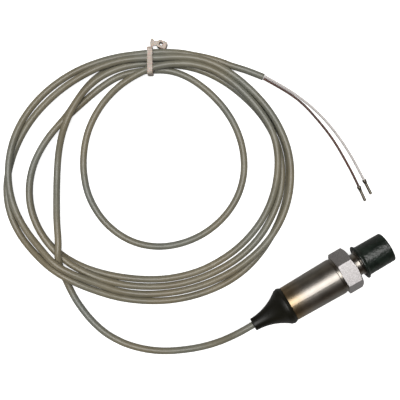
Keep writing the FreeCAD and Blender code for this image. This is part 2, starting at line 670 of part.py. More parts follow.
# ---------------------------------------------------------------- protective cap
def make_cap():
    """Push-on cap with a flared lip; shallow flutes inside let the air out."""
    body = turned("protective_cap", [
        ("Stations.cap_mouth", "Stations.cap_bore / 2"),
        ("Stations.cap_mouth", "Dims.cap_lip_diameter / 2"),
        ("Stations.cap_mouth + Dims.cap_lip_thickness", "Dims.cap_lip_diameter / 2"),
        ("Stations.cap_mouth + Dims.cap_lip_thickness + Dims.cap_flare_length",
         "Stations.cap_outside / 2"),
        ("Stations.overall", "Stations.cap_outside / 2 - Dims.cap_draft"),
        ("Stations.overall", "0"),
        ("Stations.cap_inner_end", "0"),
        ("Stations.cap_inner_end", "Stations.cap_bore / 2"),
    ], arcs={2: ("Stations.cap_flare_radius", -1)})
    soften(body, "cap_end_edge",
           rims(body.Tip, "Stations.overall", "Stations.cap_outside / 2 - Dims.cap_draft"),
           "Dims.cap_edge_radius")
    soften(body, "cap_lip_edges",
           rims(body.Tip, "Stations.cap_mouth", "Dims.cap_lip_diameter / 2")
           + rims(body.Tip, "Stations.cap_mouth + Dims.cap_lip_thickness", "Dims.cap_lip_diameter / 2"),
           "Dims.cap_lip_edge", "PartDesign::Chamfer")
    sketch = new_sketch(body, "vent_flute", "XZ_Plane")
    draw_outline(sketch, [
        ("Stations.cap_mouth", "Stations.cap_bore / 2 - 2 * Dims.cap_flute_depth"),
        ("Stations.cap_mouth", "Stations.cap_bore / 2 + Dims.cap_flute_depth"),
        ("Stations.cap_inner_end", "Stations.cap_bore / 2 + Dims.cap_flute_depth"),
        ("Stations.cap_inner_end", "Stations.cap_bore / 2 - 2 * Dims.cap_flute_depth"),
    ])
    flute = body.newObject("PartDesign::Pocket", "vent_flute_cut")
    flute.Profile = sketch
    flute.Midplane = True
    flute.setExpression("Length", "Dims.cap_flute_width")
    doc.recompute()
    flutes = body.newObject("PartDesign::PolarPattern", "vent_flutes")
    flutes.Originals = [flute]
    flutes.Axis = (sketch, ["H_Axis"])
    flutes.Angle = 360
    flutes.setExpression("Occurrences", "Dims.cap_flute_count")
    body.Tip = flutes
    doc.recompute()
    on_axis(body)
    return keep(body)


# ---------------------------------------------------------------- the lead
# The lead is coiled beside the instrument and bundled by a cable tie. Seen from above, the coil
# is drawn in clock angles, which run clockwise from the tie, and distances from its middle.
COIL_MIDDLE = Vector(-43.5, 91.0, 0)
TIE_DIRECTION = 60.0
TIE_SHIFT = 0.5

OUTERMOST_TURN = [(0, 59.6), (17, 61.0), (42, 64.0), (62, 67.2), (80, 70.2), (100, 70.4), (122, 68.4),
                  (142, 68.8), (175, 68.0), (206, 68.5), (228, 72.2), (250, 74.5), (276, 72.2),
                  (300, 67.8), (325, 62.6), (343, 60.4)]
INNERMOST_TURN = [(0, 48.0), (15, 49.0), (32, 47.1), (58, 45.5), (90, 45.1), (118, 42.3), (150, 38.7),
                  (182, 36.0), (212, 33.2), (240, 31.2), (264, 30.9), (288, 32.2), (308, 35.4),
                  (323, 39.0), (340, 44.4)]
BETWEEN_TURNS = [(17, 53.6), (30, 54.9), (48, 56.9), (66, 60.6), (76, 62.9), (94, 61.4), (120, 57.8),
                 (148, 53.9), (176, 52.3), (204, 53.8), (224, 56.3), (235, 52.6), (254, 46.6),
                 (276, 44.9), (300, 46.8), (316, 45.7), (327, 44.4), (317, 40.9), (300, 37.8),
                 (276, 34.8), (250, 34.4), (214, 36.3), (180, 39.5), (148, 42.4), (118, 45.7),
                 (90, 48.5), (60, 49.2), (38, 50.6), (25, 52.0)]
CRESCENT = [(238, 65.9), (250, 68.6), (262, 69.6), (276, 66.9), (294, 62.0), (310, 57.2), (322, 54.0),
            (309, 51.8), (296, 53.4), (276, 59.3), (258, 63.8), (247, 64.6)]
LENS = [(240, 58.4), (246, 60.0), (257, 59.5), (272, 56.4), (287, 50.8), (277, 48.6), (264, 48.8),
        (249, 52.8)]


def clock_point(clock, radius, height=0.0):
    """A point of the coil from its clock angle, in degrees, and its distance from the middle."""
    angle = math.radians(TIE_DIRECTION - clock)
    return COIL_MIDDLE + Vector(radius * math.cos(angle), radius * math.sin(angle), height)


def smooth_loop(pairs):
    """A closed outline of tangent arcs and short runs, through clock points.

    Where the outline bends gently, its corner stands out by a quarter of the bend, so that the
    arc that rounds the corner passes through the clock point.
    """
    points = [clock_point(clock, radius) for clock, radius in pairs]
    corners = []
    for number, point in enumerate(points):
        before = points[number - 1]
        after = points[(number + 1) % len(points)]
        gentle = (point - before).getAngle(after - point) < math.pi / 3
        corners.append(point + ((point - before) + (point - after)) * (0.125 if gentle else 0.0))
    arcs = [rounded_corner(corners[number - 1], corner, corners[(number + 1) % len(corners)])
            for number, corner in enumerate(corners)]
    pieces = []
    for number, (enter, middle, leave, _) in enumerate(arcs):
        pieces.append(Part.Arc(enter, middle, leave))
        pieces.append(Part.LineSegment(leave, arcs[(number + 1) % len(arcs)][0]))
    return pieces


def flat_edges(shape):
    """Names of the edges that lie level."""
    return [f"Edge{number}" for number, edge in enumerate(shape.Edges, start=1)
            if edge.BoundBox.ZLength < 1e-3]


def make_coil():
    """The coiled lead, as the outer shape of its turns: two layers high, open between them."""
    body = new_body("cable_coil")
    sketch = new_sketch(body, "turns_from_above", "XY_Plane")
    for pairs in (OUTERMOST_TURN, INNERMOST_TURN, BETWEEN_TURNS, CRESCENT, LENS):
        sketch.addGeometry(smooth_loop(pairs))
    pad = body.newObject("PartDesign::Pad", "two_layers")
    pad.Profile = sketch
    pad.setExpression("Length", "Dims.coil_height")
    doc.recompute()
    soften(body, "bevelled_turns", flat_edges(pad.Shape), "Dims.coil_edge", "PartDesign::Chamfer")
    # Under the cable tie the bundle is lifted by the strap's thickness.
    strap_way = new_sketch(body, "strap_way", "XY_Plane")
    strap_way.AttachmentOffset = Placement(COIL_MIDDLE, Rotation(Vector(0, 0, 1), TIE_DIRECTION - 90))
    side = f"{TIE_SHIFT} + Dims.tie_width / 2 + Dims.tie_clearance"
    other = f"{TIE_SHIFT} - Dims.tie_width / 2 - Dims.tie_clearance"
    draw_outline(strap_way, [
        (other, "Dims.bundle_inside - 2 * Dims.tie_thickness"),
        (side, "Dims.bundle_inside - 2 * Dims.tie_thickness"),
        (side, "Dims.bundle_outside + 2 * Dims.tie_thickness"),
        (other, "Dims.bundle_outside + 2 * Dims.tie_thickness"),
    ])
    before = body.Shape.Volume
    cut = body.newObject("PartDesign::Pocket", "strap_way_cut")
    cut.Profile = strap_way
    cut.setExpression("Length", "Dims.tie_thickness + Dims.tie_clearance")
    cut.Reversed = True
    doc.recompute()
    print(f"cable_coil: the strap's way takes off {before - body.Shape.Volume:.0f} mm3")
    body.setExpression(".Placement.Base.z", "Dims.floor_clearance")
    return keep(body)


def rounded_rectangle(sketch, left, right, low, high, radius):
    """Four sides joined by round corners, all from expressions."""
    corner = f"({radius})"
    draw_outline(sketch, [
        (f"{left} + {corner}", low),
        (f"{right} - {corner}", low),
        (right, f"{low} + {corner}"),
        (right, f"{high} - {corner}"),
        (f"{right} - {corner}", high),
        (f"{left} + {corner}", high),
        (left, f"{high} - {corner}"),
        (left, f"{low} + {corner}"),
    ], arcs={number: (corner, -1) for number in (1, 3, 5, 7)})


def make_cable_tie():
    """Strap round the bundle, its slotted head outside the coil and the cut-off tail."""
    body = new_body("cable_tie")
    low = "Dims.floor_clearance"
    inside = "Dims.bundle_inside - Dims.tie_clearance"
    outside = "Dims.bundle_outside + Dims.tie_clearance"
    top = "Dims.floor_clearance + Dims.coil_height + Dims.tie_clearance"
    strap = new_sketch(body, "strap_section", "YZ_Plane")
    strap.AttachmentOffset = Placement(Vector(0, 0, TIE_SHIFT), Rotation())
    rounded_rectangle(strap, f"{inside} - Dims.tie_thickness", f"{outside} + Dims.tie_thickness",
                      low, f"{top} + Dims.tie_thickness", "Dims.tie_corner_radius + Dims.tie_thickness")
    rounded_rectangle(strap, inside, outside, f"{low} + Dims.tie_thickness", top,
                      "Dims.tie_corner_radius")
    ring = body.newObject("PartDesign::Pad", "strap")
    ring.Profile = strap
    ring.Midplane = True
    ring.setExpression("Length", "Dims.tie_width")
    doc.recompute()
    head_outline = new_sketch(body, "head_from_above", "XY_Plane")
    head_outline.setExpression(".AttachmentOffset.Base.x", f"{TIE_SHIFT} + Dims.tie_head_shift")
    head_outline.setExpression(".AttachmentOffset.Base.y",
                               "Dims.bundle_outside + Dims.tie_head_gap + Dims.tie_head_depth / 2")
    head_outline.setExpression(".AttachmentOffset.Base.z", "Dims.tie_head_foot")
    head_outline.setExpression(".AttachmentOffset.Rotation.Angle", "Dims.tie_head_turn * 1 deg")
    rounded_rectangle(head_outline, "-Dims.tie_head_width / 2", "Dims.tie_head_width / 2",
                      "-Dims.tie_head_depth / 2", "Dims.tie_head_depth / 2", "0.25 * Dims.tie_head_depth")
    draw_outline(head_outline, [
        ("-Dims.tie_slot / 2", "-Dims.tie_slot / 2"),
        ("Dims.tie_slot / 2", "-Dims.tie_slot / 2"),
        ("Dims.tie_slot / 2", "Dims.tie_slot / 2"),
        ("-Dims.tie_slot / 2", "Dims.tie_slot / 2"),
    ])
    head = body.newObject("PartDesign::Pad", "head")
    head.Profile = head_outline
    head.setExpression("Length", "Dims.tie_head_height")
    doc.recompute()
    tail_outline = new_sketch(body, "tail_from_above", "XY_Plane")
    tail_outline.setExpression(".AttachmentOffset.Base.x", f"{TIE_SHIFT}")
    tail_outline.setExpression(".AttachmentOffset.Base.y", outside)
    tail_outline.setExpression(".AttachmentOffset.Base.z",
                               "Dims.tie_head_foot + Dims.tie_head_height - 1.5 * Dims.tie_thickness")
    head_side = "Dims.tie_head_shift - Dims.tie_head_width / 2 + 0.5"
    draw_outline(tail_outline, [
        ("-Dims.tie_width / 4", "Dims.tie_thickness / 2"),
        ("Dims.tie_width / 4", "Dims.tie_thickness"),
        (head_side, "Dims.tie_thickness * 0.9"),
        (head_side, "Dims.tie_head_depth - 0.3"),
        ("Dims.tie_width / 2", "0.75 * Dims.tie_tail_reach"),
        ("Dims.tie_width / 3", "Dims.tie_tail_reach"),
        ("-Dims.tie_width / 5", "0.7 * Dims.tie_tail_reach"),
    ])
    tail = body.newObject("PartDesign::Pad", "tail")
    tail.Profile = tail_outline
    tail.setExpression("Length", "Dims.tie_thickness")
    doc.recompute()
    body.Placement = Placement(COIL_MIDDLE, Rotation(Vector(0, 0, 1), TIE_DIRECTION - 90))
    return keep(body)


def make_cords():
    """The lead's free stretches, its two cores and their crimped end sleeves."""
    first_x = value("Stations.jacket_end - Stations.overall / 2")
    tip_x = value("-Stations.overall / 2")
    axis = value("Stations.axis_height")
    lying = value("Dims.lead_diameter / 2 + Dims.floor_clearance")
    lead = [Vector(first_x, 0, axis), Vector(tip_x - 6.5, 0, axis), Vector(-58, 0.2, 5.0),
            Vector(-70, 3.1, 1.9)]
    for x, y in ((-82.8, 9.5), (-93.5, 18.3), (-101.5, 29.3), (-106, 42.5), (-107.6, 56), (-106.9, 66.5)):
        lead.append(Vector(x, y, lying))
    keep(routed("cable_lead", lead, value("Dims.lead_diameter")))
    end = [Vector(2.5, 130.4, 5.0), Vector(12, 122.6, 3.3), Vector(20.6, 112.8, 1.9),
           Vector(28.9, 102.6, lying)]
    keep(routed("cable_end", end, value("Dims.lead_diameter")))
    core = value("Dims.core_diameter")
    low = value("Dims.ferrule_mouth_diameter / 2 + Dims.floor_clearance")
    brown = [Vector(28.45, 102.05, lying), Vector(33.3, 94.2, 1.3)]
    for x, y in ((37.6, 86), (39.9, 79.2), (41.5, 71.4), (42.8, 63.5), (43.5, 55.0), (43.4, 46),
                 (43.1, 37), (42.4, 30)):
        brown.append(Vector(x, y, low))
    keep(routed("core_brown", brown, core))
    white = [Vector(29.5, 102.85, lying), Vector(34.5, 94.8, 1.3)]
    for x, y in ((38.9, 86.4), (42.4, 77.6), (45.0, 68.2), (46.4, 58.7), (47, 49.5), (46.9, 40),
                 (46.4, 31.5)):
        white.append(Vector(x, y, low))
    keep(routed("core_white", white, core))
    for label, route in (("ferrule_brown", brown), ("ferrule_white", white)):
        ferrule = turned(label, [
            ("-Dims.ferrule_grip", "Dims.core_diameter / 2 + Dims.core_clearance"),
            ("-Dims.ferrule_grip", "Dims.ferrule_mouth_diameter / 2"),
            ("-Dims.ferrule_grip + Dims.ferrule_mouth_length", "Dims.ferrule_mouth_diameter / 2"),
            ("Dims.ferrule_mouth_length", "Dims.ferrule_diameter / 2"),
            ("Dims.ferrule_length - Dims.ferrule_grip", "Dims.ferrule_diameter / 2"),
            ("Dims.ferrule_length - Dims.ferrule_grip", "0"),
            ("0", "0"),
            ("0", "Dims.core_diameter / 2 + Dims.core_clearance"),
        ])
        ferrule.Placement = Placement(route[-1], Rotation(Vector(1, 0, 0), route[-1] - route[-2]))
        keep(ferrule)


make_pressure_port()
make_can()
make_boot()
make_end_plug()
make_plug_seal()
make_crimp_sleeve()
make_cell()
make_cell_seal()
make_retainer()
make_board("front_board", "Stations.front_board_start", "Stations.front_board_end")
make_board("rear_board", "Stations.rear_board_start", "Stations.rear_board_end")
make_pins("contact_pins", "Stations.cell_rear - Stations.front_board_end",
          "Stations.front_board_end", "Dims.pin_circle")
make_pins("link_pins", "Stations.front_board_start - Stations.rear_board_end",
          "Stations.rear_board_end", "Dims.link_circle")
make_spacer()
make_front_chips()
make_rear_chips()
make_inner_core("inner_core_brown", 1)
make_inner_core("inner_core_white", -1)
make_cap()
make_coil()
make_cable_tie()
make_cords()

doc.recompute()
os.makedirs("parts", exist_ok=True)
for feature in doc.Objects:
    if {"Invalid", "Error"} & set(feature.State):
        raise RuntimeError(f"{feature.Label} did not recompute: {feature.State}")
for feature in exported:
    shape = feature.Shape
    if shape.isNull() or not shape.isValid() or not shape.Solids:
        raise RuntimeError(f"{feature.Label} has no valid solid")
    shape.exportStep(f"parts/{feature.Label}.step")
    print(f"{feature.Label}: {len(shape.Solids)} solid(s), {shape.Volume:.1f} mm3")
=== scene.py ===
import math

import bmesh
import bpy
import mathutils
import numpy as np
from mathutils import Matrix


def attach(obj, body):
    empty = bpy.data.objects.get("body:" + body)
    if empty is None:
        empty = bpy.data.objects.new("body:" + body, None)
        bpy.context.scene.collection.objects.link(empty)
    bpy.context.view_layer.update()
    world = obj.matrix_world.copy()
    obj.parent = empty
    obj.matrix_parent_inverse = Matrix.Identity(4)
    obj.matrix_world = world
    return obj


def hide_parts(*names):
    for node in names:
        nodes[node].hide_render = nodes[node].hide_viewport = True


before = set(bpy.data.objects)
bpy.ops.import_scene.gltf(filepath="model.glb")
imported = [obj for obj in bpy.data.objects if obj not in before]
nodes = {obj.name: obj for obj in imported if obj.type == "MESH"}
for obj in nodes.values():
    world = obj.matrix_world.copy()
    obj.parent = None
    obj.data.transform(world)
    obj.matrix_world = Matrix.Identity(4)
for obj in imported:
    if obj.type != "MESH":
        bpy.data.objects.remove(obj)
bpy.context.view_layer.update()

print("frame loaded:", len(nodes), "nodes")


def linearColour(hexCode):
    # an sRGB hex value turned to linear light, channel by channel
    parts = [int(hexCode[n:n + 2], 16) / 255 for n in (1, 3, 5)]
    return [p / 12.92 if p <= 0.04045 else ((p + 0.055) / 1.055) ** 2.4 for p in parts] + [1.0]


def addNode(tree, kind, settings=None, links=None):
    # settings go to the node's sockets where one has that name or number, or else to its
    # properties, and a ramp's are its stops; links give a socket and the output that feeds it
    node = tree.nodes.new(kind)
    for name, setting in (settings or {}).items():
        if name == "stops":
            marks = node.color_ramp.elements
            while len(marks) < len(setting):
                marks.new(0.5)
            for mark, (place, hexCode) in zip(marks, setting):
                mark.position = place
                mark.color = linearColour(hexCode)
        elif isinstance(name, int) or name in node.inputs:
            node.inputs[name].default_value = setting
        else:
            setattr(node, name, setting)
    for name, output in (links or {}).items():
        tree.links.new(output, node.inputs[name])
    return node


def startMaterial(name):
    material = bpy.data.materials.new(name)
    material.use_nodes = True
    material.node_tree.nodes.clear()
    return material, material.node_tree


def finishMaterial(tree, settings, links):
    surface = addNode(tree, "ShaderNodeBsdfPrincipled", settings, links)
    addNode(tree, "ShaderNodeOutputMaterial", None, {"Surface": surface.outputs["BSDF"]})


studio = {
    "cameraPlace": (-0.02956, 0.0656, 0.3079),
    "cameraTurn": -30.3,
    "lens": 55.08,
    "floorSide": 8.0,
    "floorColour": "#949391",  # what it throws back at the object
    "floorSeen": "#F4F4F2",    # what the camera sees, well over plain white except in narrow gaps
    "floorGlow": 0.74,         # seen by the camera
    "mirroredGlow": 0.06,      # seen in metal, where it lifts the lit paper to plain white
    "worldStrength": 0.15,
    "mattSky": "#E9ECF2",
    "mirroredSky": [(0.0, "#A39A8C"), (0.1, "#62594C"), (0.35, "#362D21"), (1.0, "#2E261C")],
}

camera = bpy.data.cameras.new("camera")
camera.lens = studio["lens"]
camera.sensor_width = 36
camera.clip_start = 0.01
cameraObject = bpy.data.objects.new("camera", camera)
cameraObject.location = studio["cameraPlace"]
cameraObject.rotation_euler = (0, 0, math.radians(studio["cameraTurn"]))
bpy.context.collection.objects.link(cameraObject)
bpy.context.scene.camera = cameraObject
bpy.context.scene.view_settings.view_transform = "Standard"


def paperFloor():
    # Matt white paper sweep: it takes the soft contact shadow, and a plain glow seen by the
    # camera and in reflections lifts the rest to white.
    material, tree = startMaterial("matt_white_paper")
    path = addNode(tree, "ShaderNodeLightPath")
    straight = addNode(tree, "ShaderNodeMath", {"operation": "MAXIMUM"},
                       {0: path.outputs["Is Camera Ray"], 1: path.outputs["Is Transmission Ray"]})
    mirrored = addNode(tree, "ShaderNodeMath",
                       {"operation": "MULTIPLY", 1: studio["mirroredGlow"]},
                       {0: path.outputs["Is Glossy Ray"]})
    strength = addNode(tree, "ShaderNodeMath",
                       {"operation": "MULTIPLY_ADD", 1: studio["floorGlow"]},
                       {0: straight.outputs[0], 2: mirrored.outputs[0]})
    glow = addNode(tree, "ShaderNodeEmission", {"Color": (1, 1, 1, 1)},
                   {"Strength": strength.outputs[0]})
    tone = addNode(tree, "ShaderNodeMixRGB", {1: linearColour(studio["floorColour"]),
                                              2: linearColour(studio["floorSeen"])},
                   {0: straight.outputs[0]})
    paper = addNode(tree, "ShaderNodeBsdfDiffuse", None, {"Color": tone.outputs[0]})
    both = addNode(tree, "ShaderNodeAddShader", None,
                   {0: paper.outputs[0], 1: glow.outputs[0]})
    addNode(tree, "ShaderNodeOutputMaterial", None, {"Surface": both.outputs[0]})
    return material


half = studio["floorSide"] / 2
floorMesh = bpy.data.meshes.new("floor")
floorMesh.from_pydata([(-half, -half, 0), (half, -half, 0), (half, half, 0), (-half, half, 0)],
                      [], [(0, 1, 2, 3)])
floorObject = bpy.data.objects.new("floor", floorMesh)
floorMesh.materials.append(paperFloor())
bpy.context.collection.objects.link(floorObject)

# The studio round the object: white where the camera looks past the floor, pale low down and
# dark overhead where steel mirrors it, and an even soft grey for matt surfaces.
world = bpy.data.worlds.new("studio")
bpy.context.scene.world = world
world.use_nodes = True
sky = world.node_tree
sky.nodes.clear()
skyPath = addNode(sky, "ShaderNodeLightPath")
skyDirection = addNode(sky, "ShaderNodeTexCoord")
skyHeight = addNode(sky, "ShaderNodeSeparateXYZ", None, {0: skyDirection.outputs["Generated"]})
skyMirrored = addNode(sky, "ShaderNodeValToRGB", {"stops": studio["mirroredSky"]},
                      {"Fac": skyHeight.outputs["Z"]})
skyGlossy = addNode(sky, "ShaderNodeMixRGB", {1: linearColour(studio["mattSky"])},
                    {0: skyPath.outputs["Is Glossy Ray"], 2: skyMirrored.outputs[0]})
skyClear = addNode(sky, "ShaderNodeMath", {"operation": "MAXIMUM"},
                   {0: skyPath.outputs["Is Camera Ray"],
                    1: skyPath.outputs["Is Transmission Ray"]})
skySeen = addNode(sky, "ShaderNodeMixRGB", {2: (1, 1, 1, 1)},
                  {0: skyClear.outputs[0], 1: skyGlossy.outputs[0]})
skyBright = addNode(sky, "ShaderNodeMath", {"operation": "MAXIMUM"},
                    {0: skyClear.outputs[0], 1: skyPath.outputs["Is Glossy Ray"]})
skyStrength = addNode(sky, "ShaderNodeMix",
                      {"data_type": "FLOAT", 2: studio["worldStrength"], 3: 1.0},
                      {0: skyBright.outputs[0]})
skyLight = addNode(sky, "ShaderNodeBackground", None,
                   {"Color": skySeen.outputs[0], "Strength": skyStrength.outputs[0]})
addNode(sky, "ShaderNodeOutputWorld", None, {"Surface": skyLight.outputs[0]})


# A large soft key almost overhead, and a weak cool fill from behind and to one side.
lamps = {
    "key": {"place": (-0.03, 0.13, 0.8), "aim": (-0.03, 0.06, 0), "size": (0.8, 0.5),
            "power": 6.4, "tint": "#FFFEFC"},
    "fill": {"place": (-0.55, 0.75, 0.6), "aim": (-0.03, 0.06, 0), "size": (0.5, 0.4),
             "power": 0.5, "tint": "#F4F7FF"},
}


def softbox(name, look):
    # an oblong lamp turned from its place towards its aim
    lamp = bpy.data.lights.new(name, "AREA")
    lamp.shape = "RECTANGLE"
    lamp.size, lamp.size_y = look["size"]
    lamp.energy = look["power"]
    lamp.color = linearColour(look["tint"])[:3]
    lampObject = bpy.data.objects.new(name, lamp)
    lampObject.location = look["place"]
    towards = np.array(look["aim"]) - np.array(look["place"])
    towards = towards / np.linalg.norm(towards)
    side = np.cross(towards, (0, 1, 0))
    side = side / np.linalg.norm(side)
    upward = np.cross(side, towards)
    turn = np.column_stack((side, upward, -towards))
    lampObject.rotation_euler = mathutils.Matrix(turn.tolist()).to_euler()
    bpy.context.collection.objects.link(lampObject)


for name, look in lamps.items():
    softbox(name, look)
print("studio ready")


# The coil's keys are (clock, distance, height): degrees clockwise from the cable tie seen from
# above, distance from the coil's middle, and height of the lead's middle over the floor.
lead = {
    "diameter": 3.4,
    "coilMiddle": (-43.5, 91.0),
    "tieDirection": 60.0,
    "pointStep": 10.0,      # degrees between the turns' points
    "ease": 7,              # degrees over which the keys are eased into each other
    "outset": 1.004,        # because the spline runs just inside its points
    "fromBoot": [
        (-10, 0, 9.5), (-24, 0, 9.5), (-39.1, 0, 9.5), (-47.6, -0.24, 8), (-57.48, 0.26, 5),
        (-66.79, 2.28, 3), (-75.09, 5.34, 1.9), (-83.04, 9.24, 1.75), (-90.42, 14.48, 1.75),
        (-97.04, 20.99, 1.75), (-100.96, 26.55, 1.75), (-103.99, 32.03, 1.75),
        (-106.28, 38.76, 1.75), (-107.59, 45.33, 1.75), (-108.37, 53.1, 1.75),
        (-108.15, 59.93, 1.75), (-107.3, 66.12, 2.6), (-106.03, 71.52, 5.5),
        (-103.67, 76.96, 8.8),
    ],
    # one list for each pass through the cable tie, in the order in which the lead is wound
    "crossesUnder": [
        (231, 57.07, 8.49), (237, 53.81, 7.9), (246, 50, 5.6), (256, 47.72, 3.3),
        (266, 46.44, 1.9), (274, 46.25, 1.9), (283, 46.21, 3.6), (290, 46.34, 5.7),
        (296, 46.59, 7.3), (302, 46.92, 8.5), (309, 48.09, 8.3), (316, 49.6, 6.7),
        (322, 50.84, 5.6), (330, 51.99, 5), (337, 52.53, 4.6), (344, 52.58, 4.64),
        (352, 52.88, 3.63),
    ],
    "innerLane": [
        (0, 53.23, 2.86), (7, 52.72, 2.29), (15, 54.27, 1.82), (27, 55.92, 1.75),
        (42, 57.86, 1.75), (52, 59.3, 1.75), (58, 60.66, 1.75), (67, 62.67, 1.75),
        (75, 64.27, 1.75), (85, 65.78, 1.75), (100, 66.27, 1.75), (106, 65.5, 1.75),
        (113, 64.71, 1.75), (119, 64.42, 1.75), (124, 63.85, 1.75), (131, 62.7, 1.75),
        (137, 61.8, 1.75), (145, 60.5, 1.75), (154, 59.5, 1.75), (163, 58.8, 1.75),
        (172, 58.3, 1.75), (180, 58, 1.8), (190, 58.3, 2.6), (201, 58.75, 4.37),
        (209, 59.34, 5.12), (217, 60.67, 5.09), (222, 61.21, 4.77), (231, 62.06, 4.89),
        (242, 62.4, 5.15), (249, 62.38, 5.15), (255, 61.74, 5.15), (261, 60.72, 5.15),
        (268, 59.03, 5.15), (276, 56.75, 5.15), (283, 54.11, 5.15), (291, 51.72, 5.15),
        (299, 49.43, 5.15), (304, 48.03, 5.1), (310, 47.28, 4.5), (317, 47.23, 2.6),
        (325, 47.64, 1.75), (333, 48.41, 1.75), (341, 49.59, 1.75), (348, 49.52, 2),
    ],
    "smallLoop": [
        (0, 49.49, 2.68), (7, 50.42, 2.12), (14, 50.86, 1.75), (26, 49.85, 1.75),
        (36, 48.71, 1.75), (45, 48.26, 1.75), (54, 47.95, 1.75), (80, 47.3, 1.75),
        (96, 46.67, 1.75), (110, 45.24, 1.75), (119, 44.04, 1.75), (133, 42.26, 1.75),
        (151, 40.25, 1.75), (161, 39.34, 1.75), (174, 38.42, 1.75), (195, 36.7, 1.75),
        (211, 35.16, 1.75), (236, 33.49, 1.75), (264, 33.03, 1.75), (281, 33.86, 1.75),
        (295, 35.5, 1.75), (305, 37.05, 1.75), (315, 38.75, 1.75), (323, 40.49, 1.75),
        (330, 41.96, 2.6), (338, 43.57, 4.3), (345, 45.37, 5.3), (351, 46.69, 5.8),
    ],
    "topInner": [
        (0, 50.21, 5.9), (7, 52.03, 5.55), (15, 54.45, 4.92), (28, 58.2, 4.75), (42, 59.52, 4.75),
        (57, 60.85, 5.05), (67, 62.83, 5.15), (75, 63.96, 5.15), (85, 63.83, 5.1),
        (92, 63.18, 4.6), (100, 62.81, 3.3), (106, 62.06, 2), (114, 61.21, 1.75),
        (121, 60.09, 1.75), (127, 59.11, 1.75), (134, 58.21, 1.75), (141, 57.08, 1.75),
        (151, 56.25, 1.75), (162, 55.2, 1.75), (172, 54.7, 1.75), (180, 54.4, 1.75),
        (190, 54.6, 1.75), (201, 55.82, 1.75), (209, 57.55, 1.75), (217, 59.11, 1.75),
        (222, 60.27, 1.75), (231, 62.48, 1.75), (242, 63.03, 1.75), (249, 62.95, 1.75),
        (255, 62.37, 1.75), (261, 61.41, 1.75), (268, 59.82, 1.75), (276, 57.62, 1.75),
        (283, 55, 1.75), (291, 52.65, 1.75), (299, 50.02, 1.75), (304, 49.37, 1.75),
        (310, 49.91, 1.75), (316, 50.87, 1.75), (322, 52.26, 1.75), (330, 53.87, 1.75),
        (337, 54.42, 1.75), (344, 54.6, 1.75), (352, 55.59, 1.91),
    ],
    "outerLane": [
        (0, 56.34, 2.4), (7, 56.16, 1.75), (15, 57.11, 1.75), (21, 58.27, 1.75),
        (28, 59.68, 1.75), (42, 61.04, 1.75), (50, 61.94, 1.75), (57, 63.76, 1.75),
        (67, 66.28, 1.75), (75, 67.9, 1.75), (85, 69.38, 1.75), (100, 69.51, 1.75),
        (113, 69.06, 1.75), (122, 68.88, 1.75), (139, 68.7, 1.75), (145, 67.9, 1.75),
        (150, 67.4, 1.75), (158, 66.5, 1.75), (172, 65.6, 1.75), (186, 65.11, 1.8),
        (196, 65.44, 2.9), (206, 65.36, 5.2), (213, 66.05, 7.28), (218, 67.18, 8.52),
        (223, 68.09, 8.2), (232, 69.9, 4.64), (241, 72.2, 2.3), (250, 73.7, 1.75),
        (262, 73.09, 1.75), (281, 67.84, 1.75), (294, 64.36, 1.75), (304, 61.56, 2.2),
        (312, 59.53, 3.6), (321, 57.64, 5), (330, 56.66, 5.3), (340, 56.01, 5.52),
        (348, 55.43, 6.27),
    ],
    "topOuter": [
        (0, 54.81, 6.42), (7, 55.11, 5.79), (15, 57.88, 4.86), (28, 61.34, 4.75),
        (42, 62.57, 4.75), (50, 63.41, 4.8), (57, 64.63, 5), (67, 66.53, 5.1), (76, 68.26, 5.15),
        (85, 69.71, 5.15), (100, 70.13, 5.15), (111, 69.82, 5.15), (117, 68.7, 5.15),
        (122, 68.11, 5.1), (132, 66.44, 4.75), (138, 65, 4.6), (144, 64.3, 4.1), (150, 63.6, 2.9),
        (155, 63.05, 1.9), (162, 62.45, 1.75), (172, 61.9, 1.75), (182, 61.6, 1.75),
        (190, 62.7, 2.4), (199, 61.57, 4.43), (208, 61.56, 7.23), (215, 62.8, 9.29),
        (221, 64.52, 10.87), (227, 65.63, 10.51), (235, 65.47, 7.79), (245, 68.15, 5.7),
        (254, 69.66, 5.15), (262, 70.17, 5.15), (269, 70.24, 5.15), (276, 69.81, 5.15),
        (283, 69.32, 4.6), (290, 68.65, 3.1), (297, 67.49, 1.9), (305, 65.73, 1.75),
        (314, 63.63, 1.75), (323, 61.9, 1.75), (331, 60.43, 1.75), (340, 58.84, 2.39),
        (348, 58.24, 3.32),
    ],
    "lastBend": [
        (0, 56.9, 5.58), (3.5, 57.84, 5.33), (7, 59.18, 4.5), (11, 60.14, 3.06),
        (15, 60.39, 2.31),
    ],
    "toEnd": [
        (2.9, 130.9, 1.75), (9.7, 125, 1.75), (14.5, 119.9, 1.75), (17.4, 116.1, 1.75),
        (22.2, 111, 1.75), (25.3, 107.3, 1.75), (28.9, 102.6, 1.75),
    ],
}


def easedKeys(degrees, column, ease):
    # straight steps between the keys, then each place is the bell-weighted mean of its neighbours
    fine = np.arange(degrees[0], degrees[-1] + 0.5, 1.0)
    height = np.interp(fine, degrees, column)
    bell = np.hanning(2 * ease + 3)
    bell = bell / bell.sum()
    reach = len(bell) // 2
    before = 2 * height[0] - height[1:reach + 1][::-1]
    after = 2 * height[-1] - height[-reach - 1:-1][::-1]
    return fine, np.convolve(np.concatenate((before, height, after)), bell, "valid")


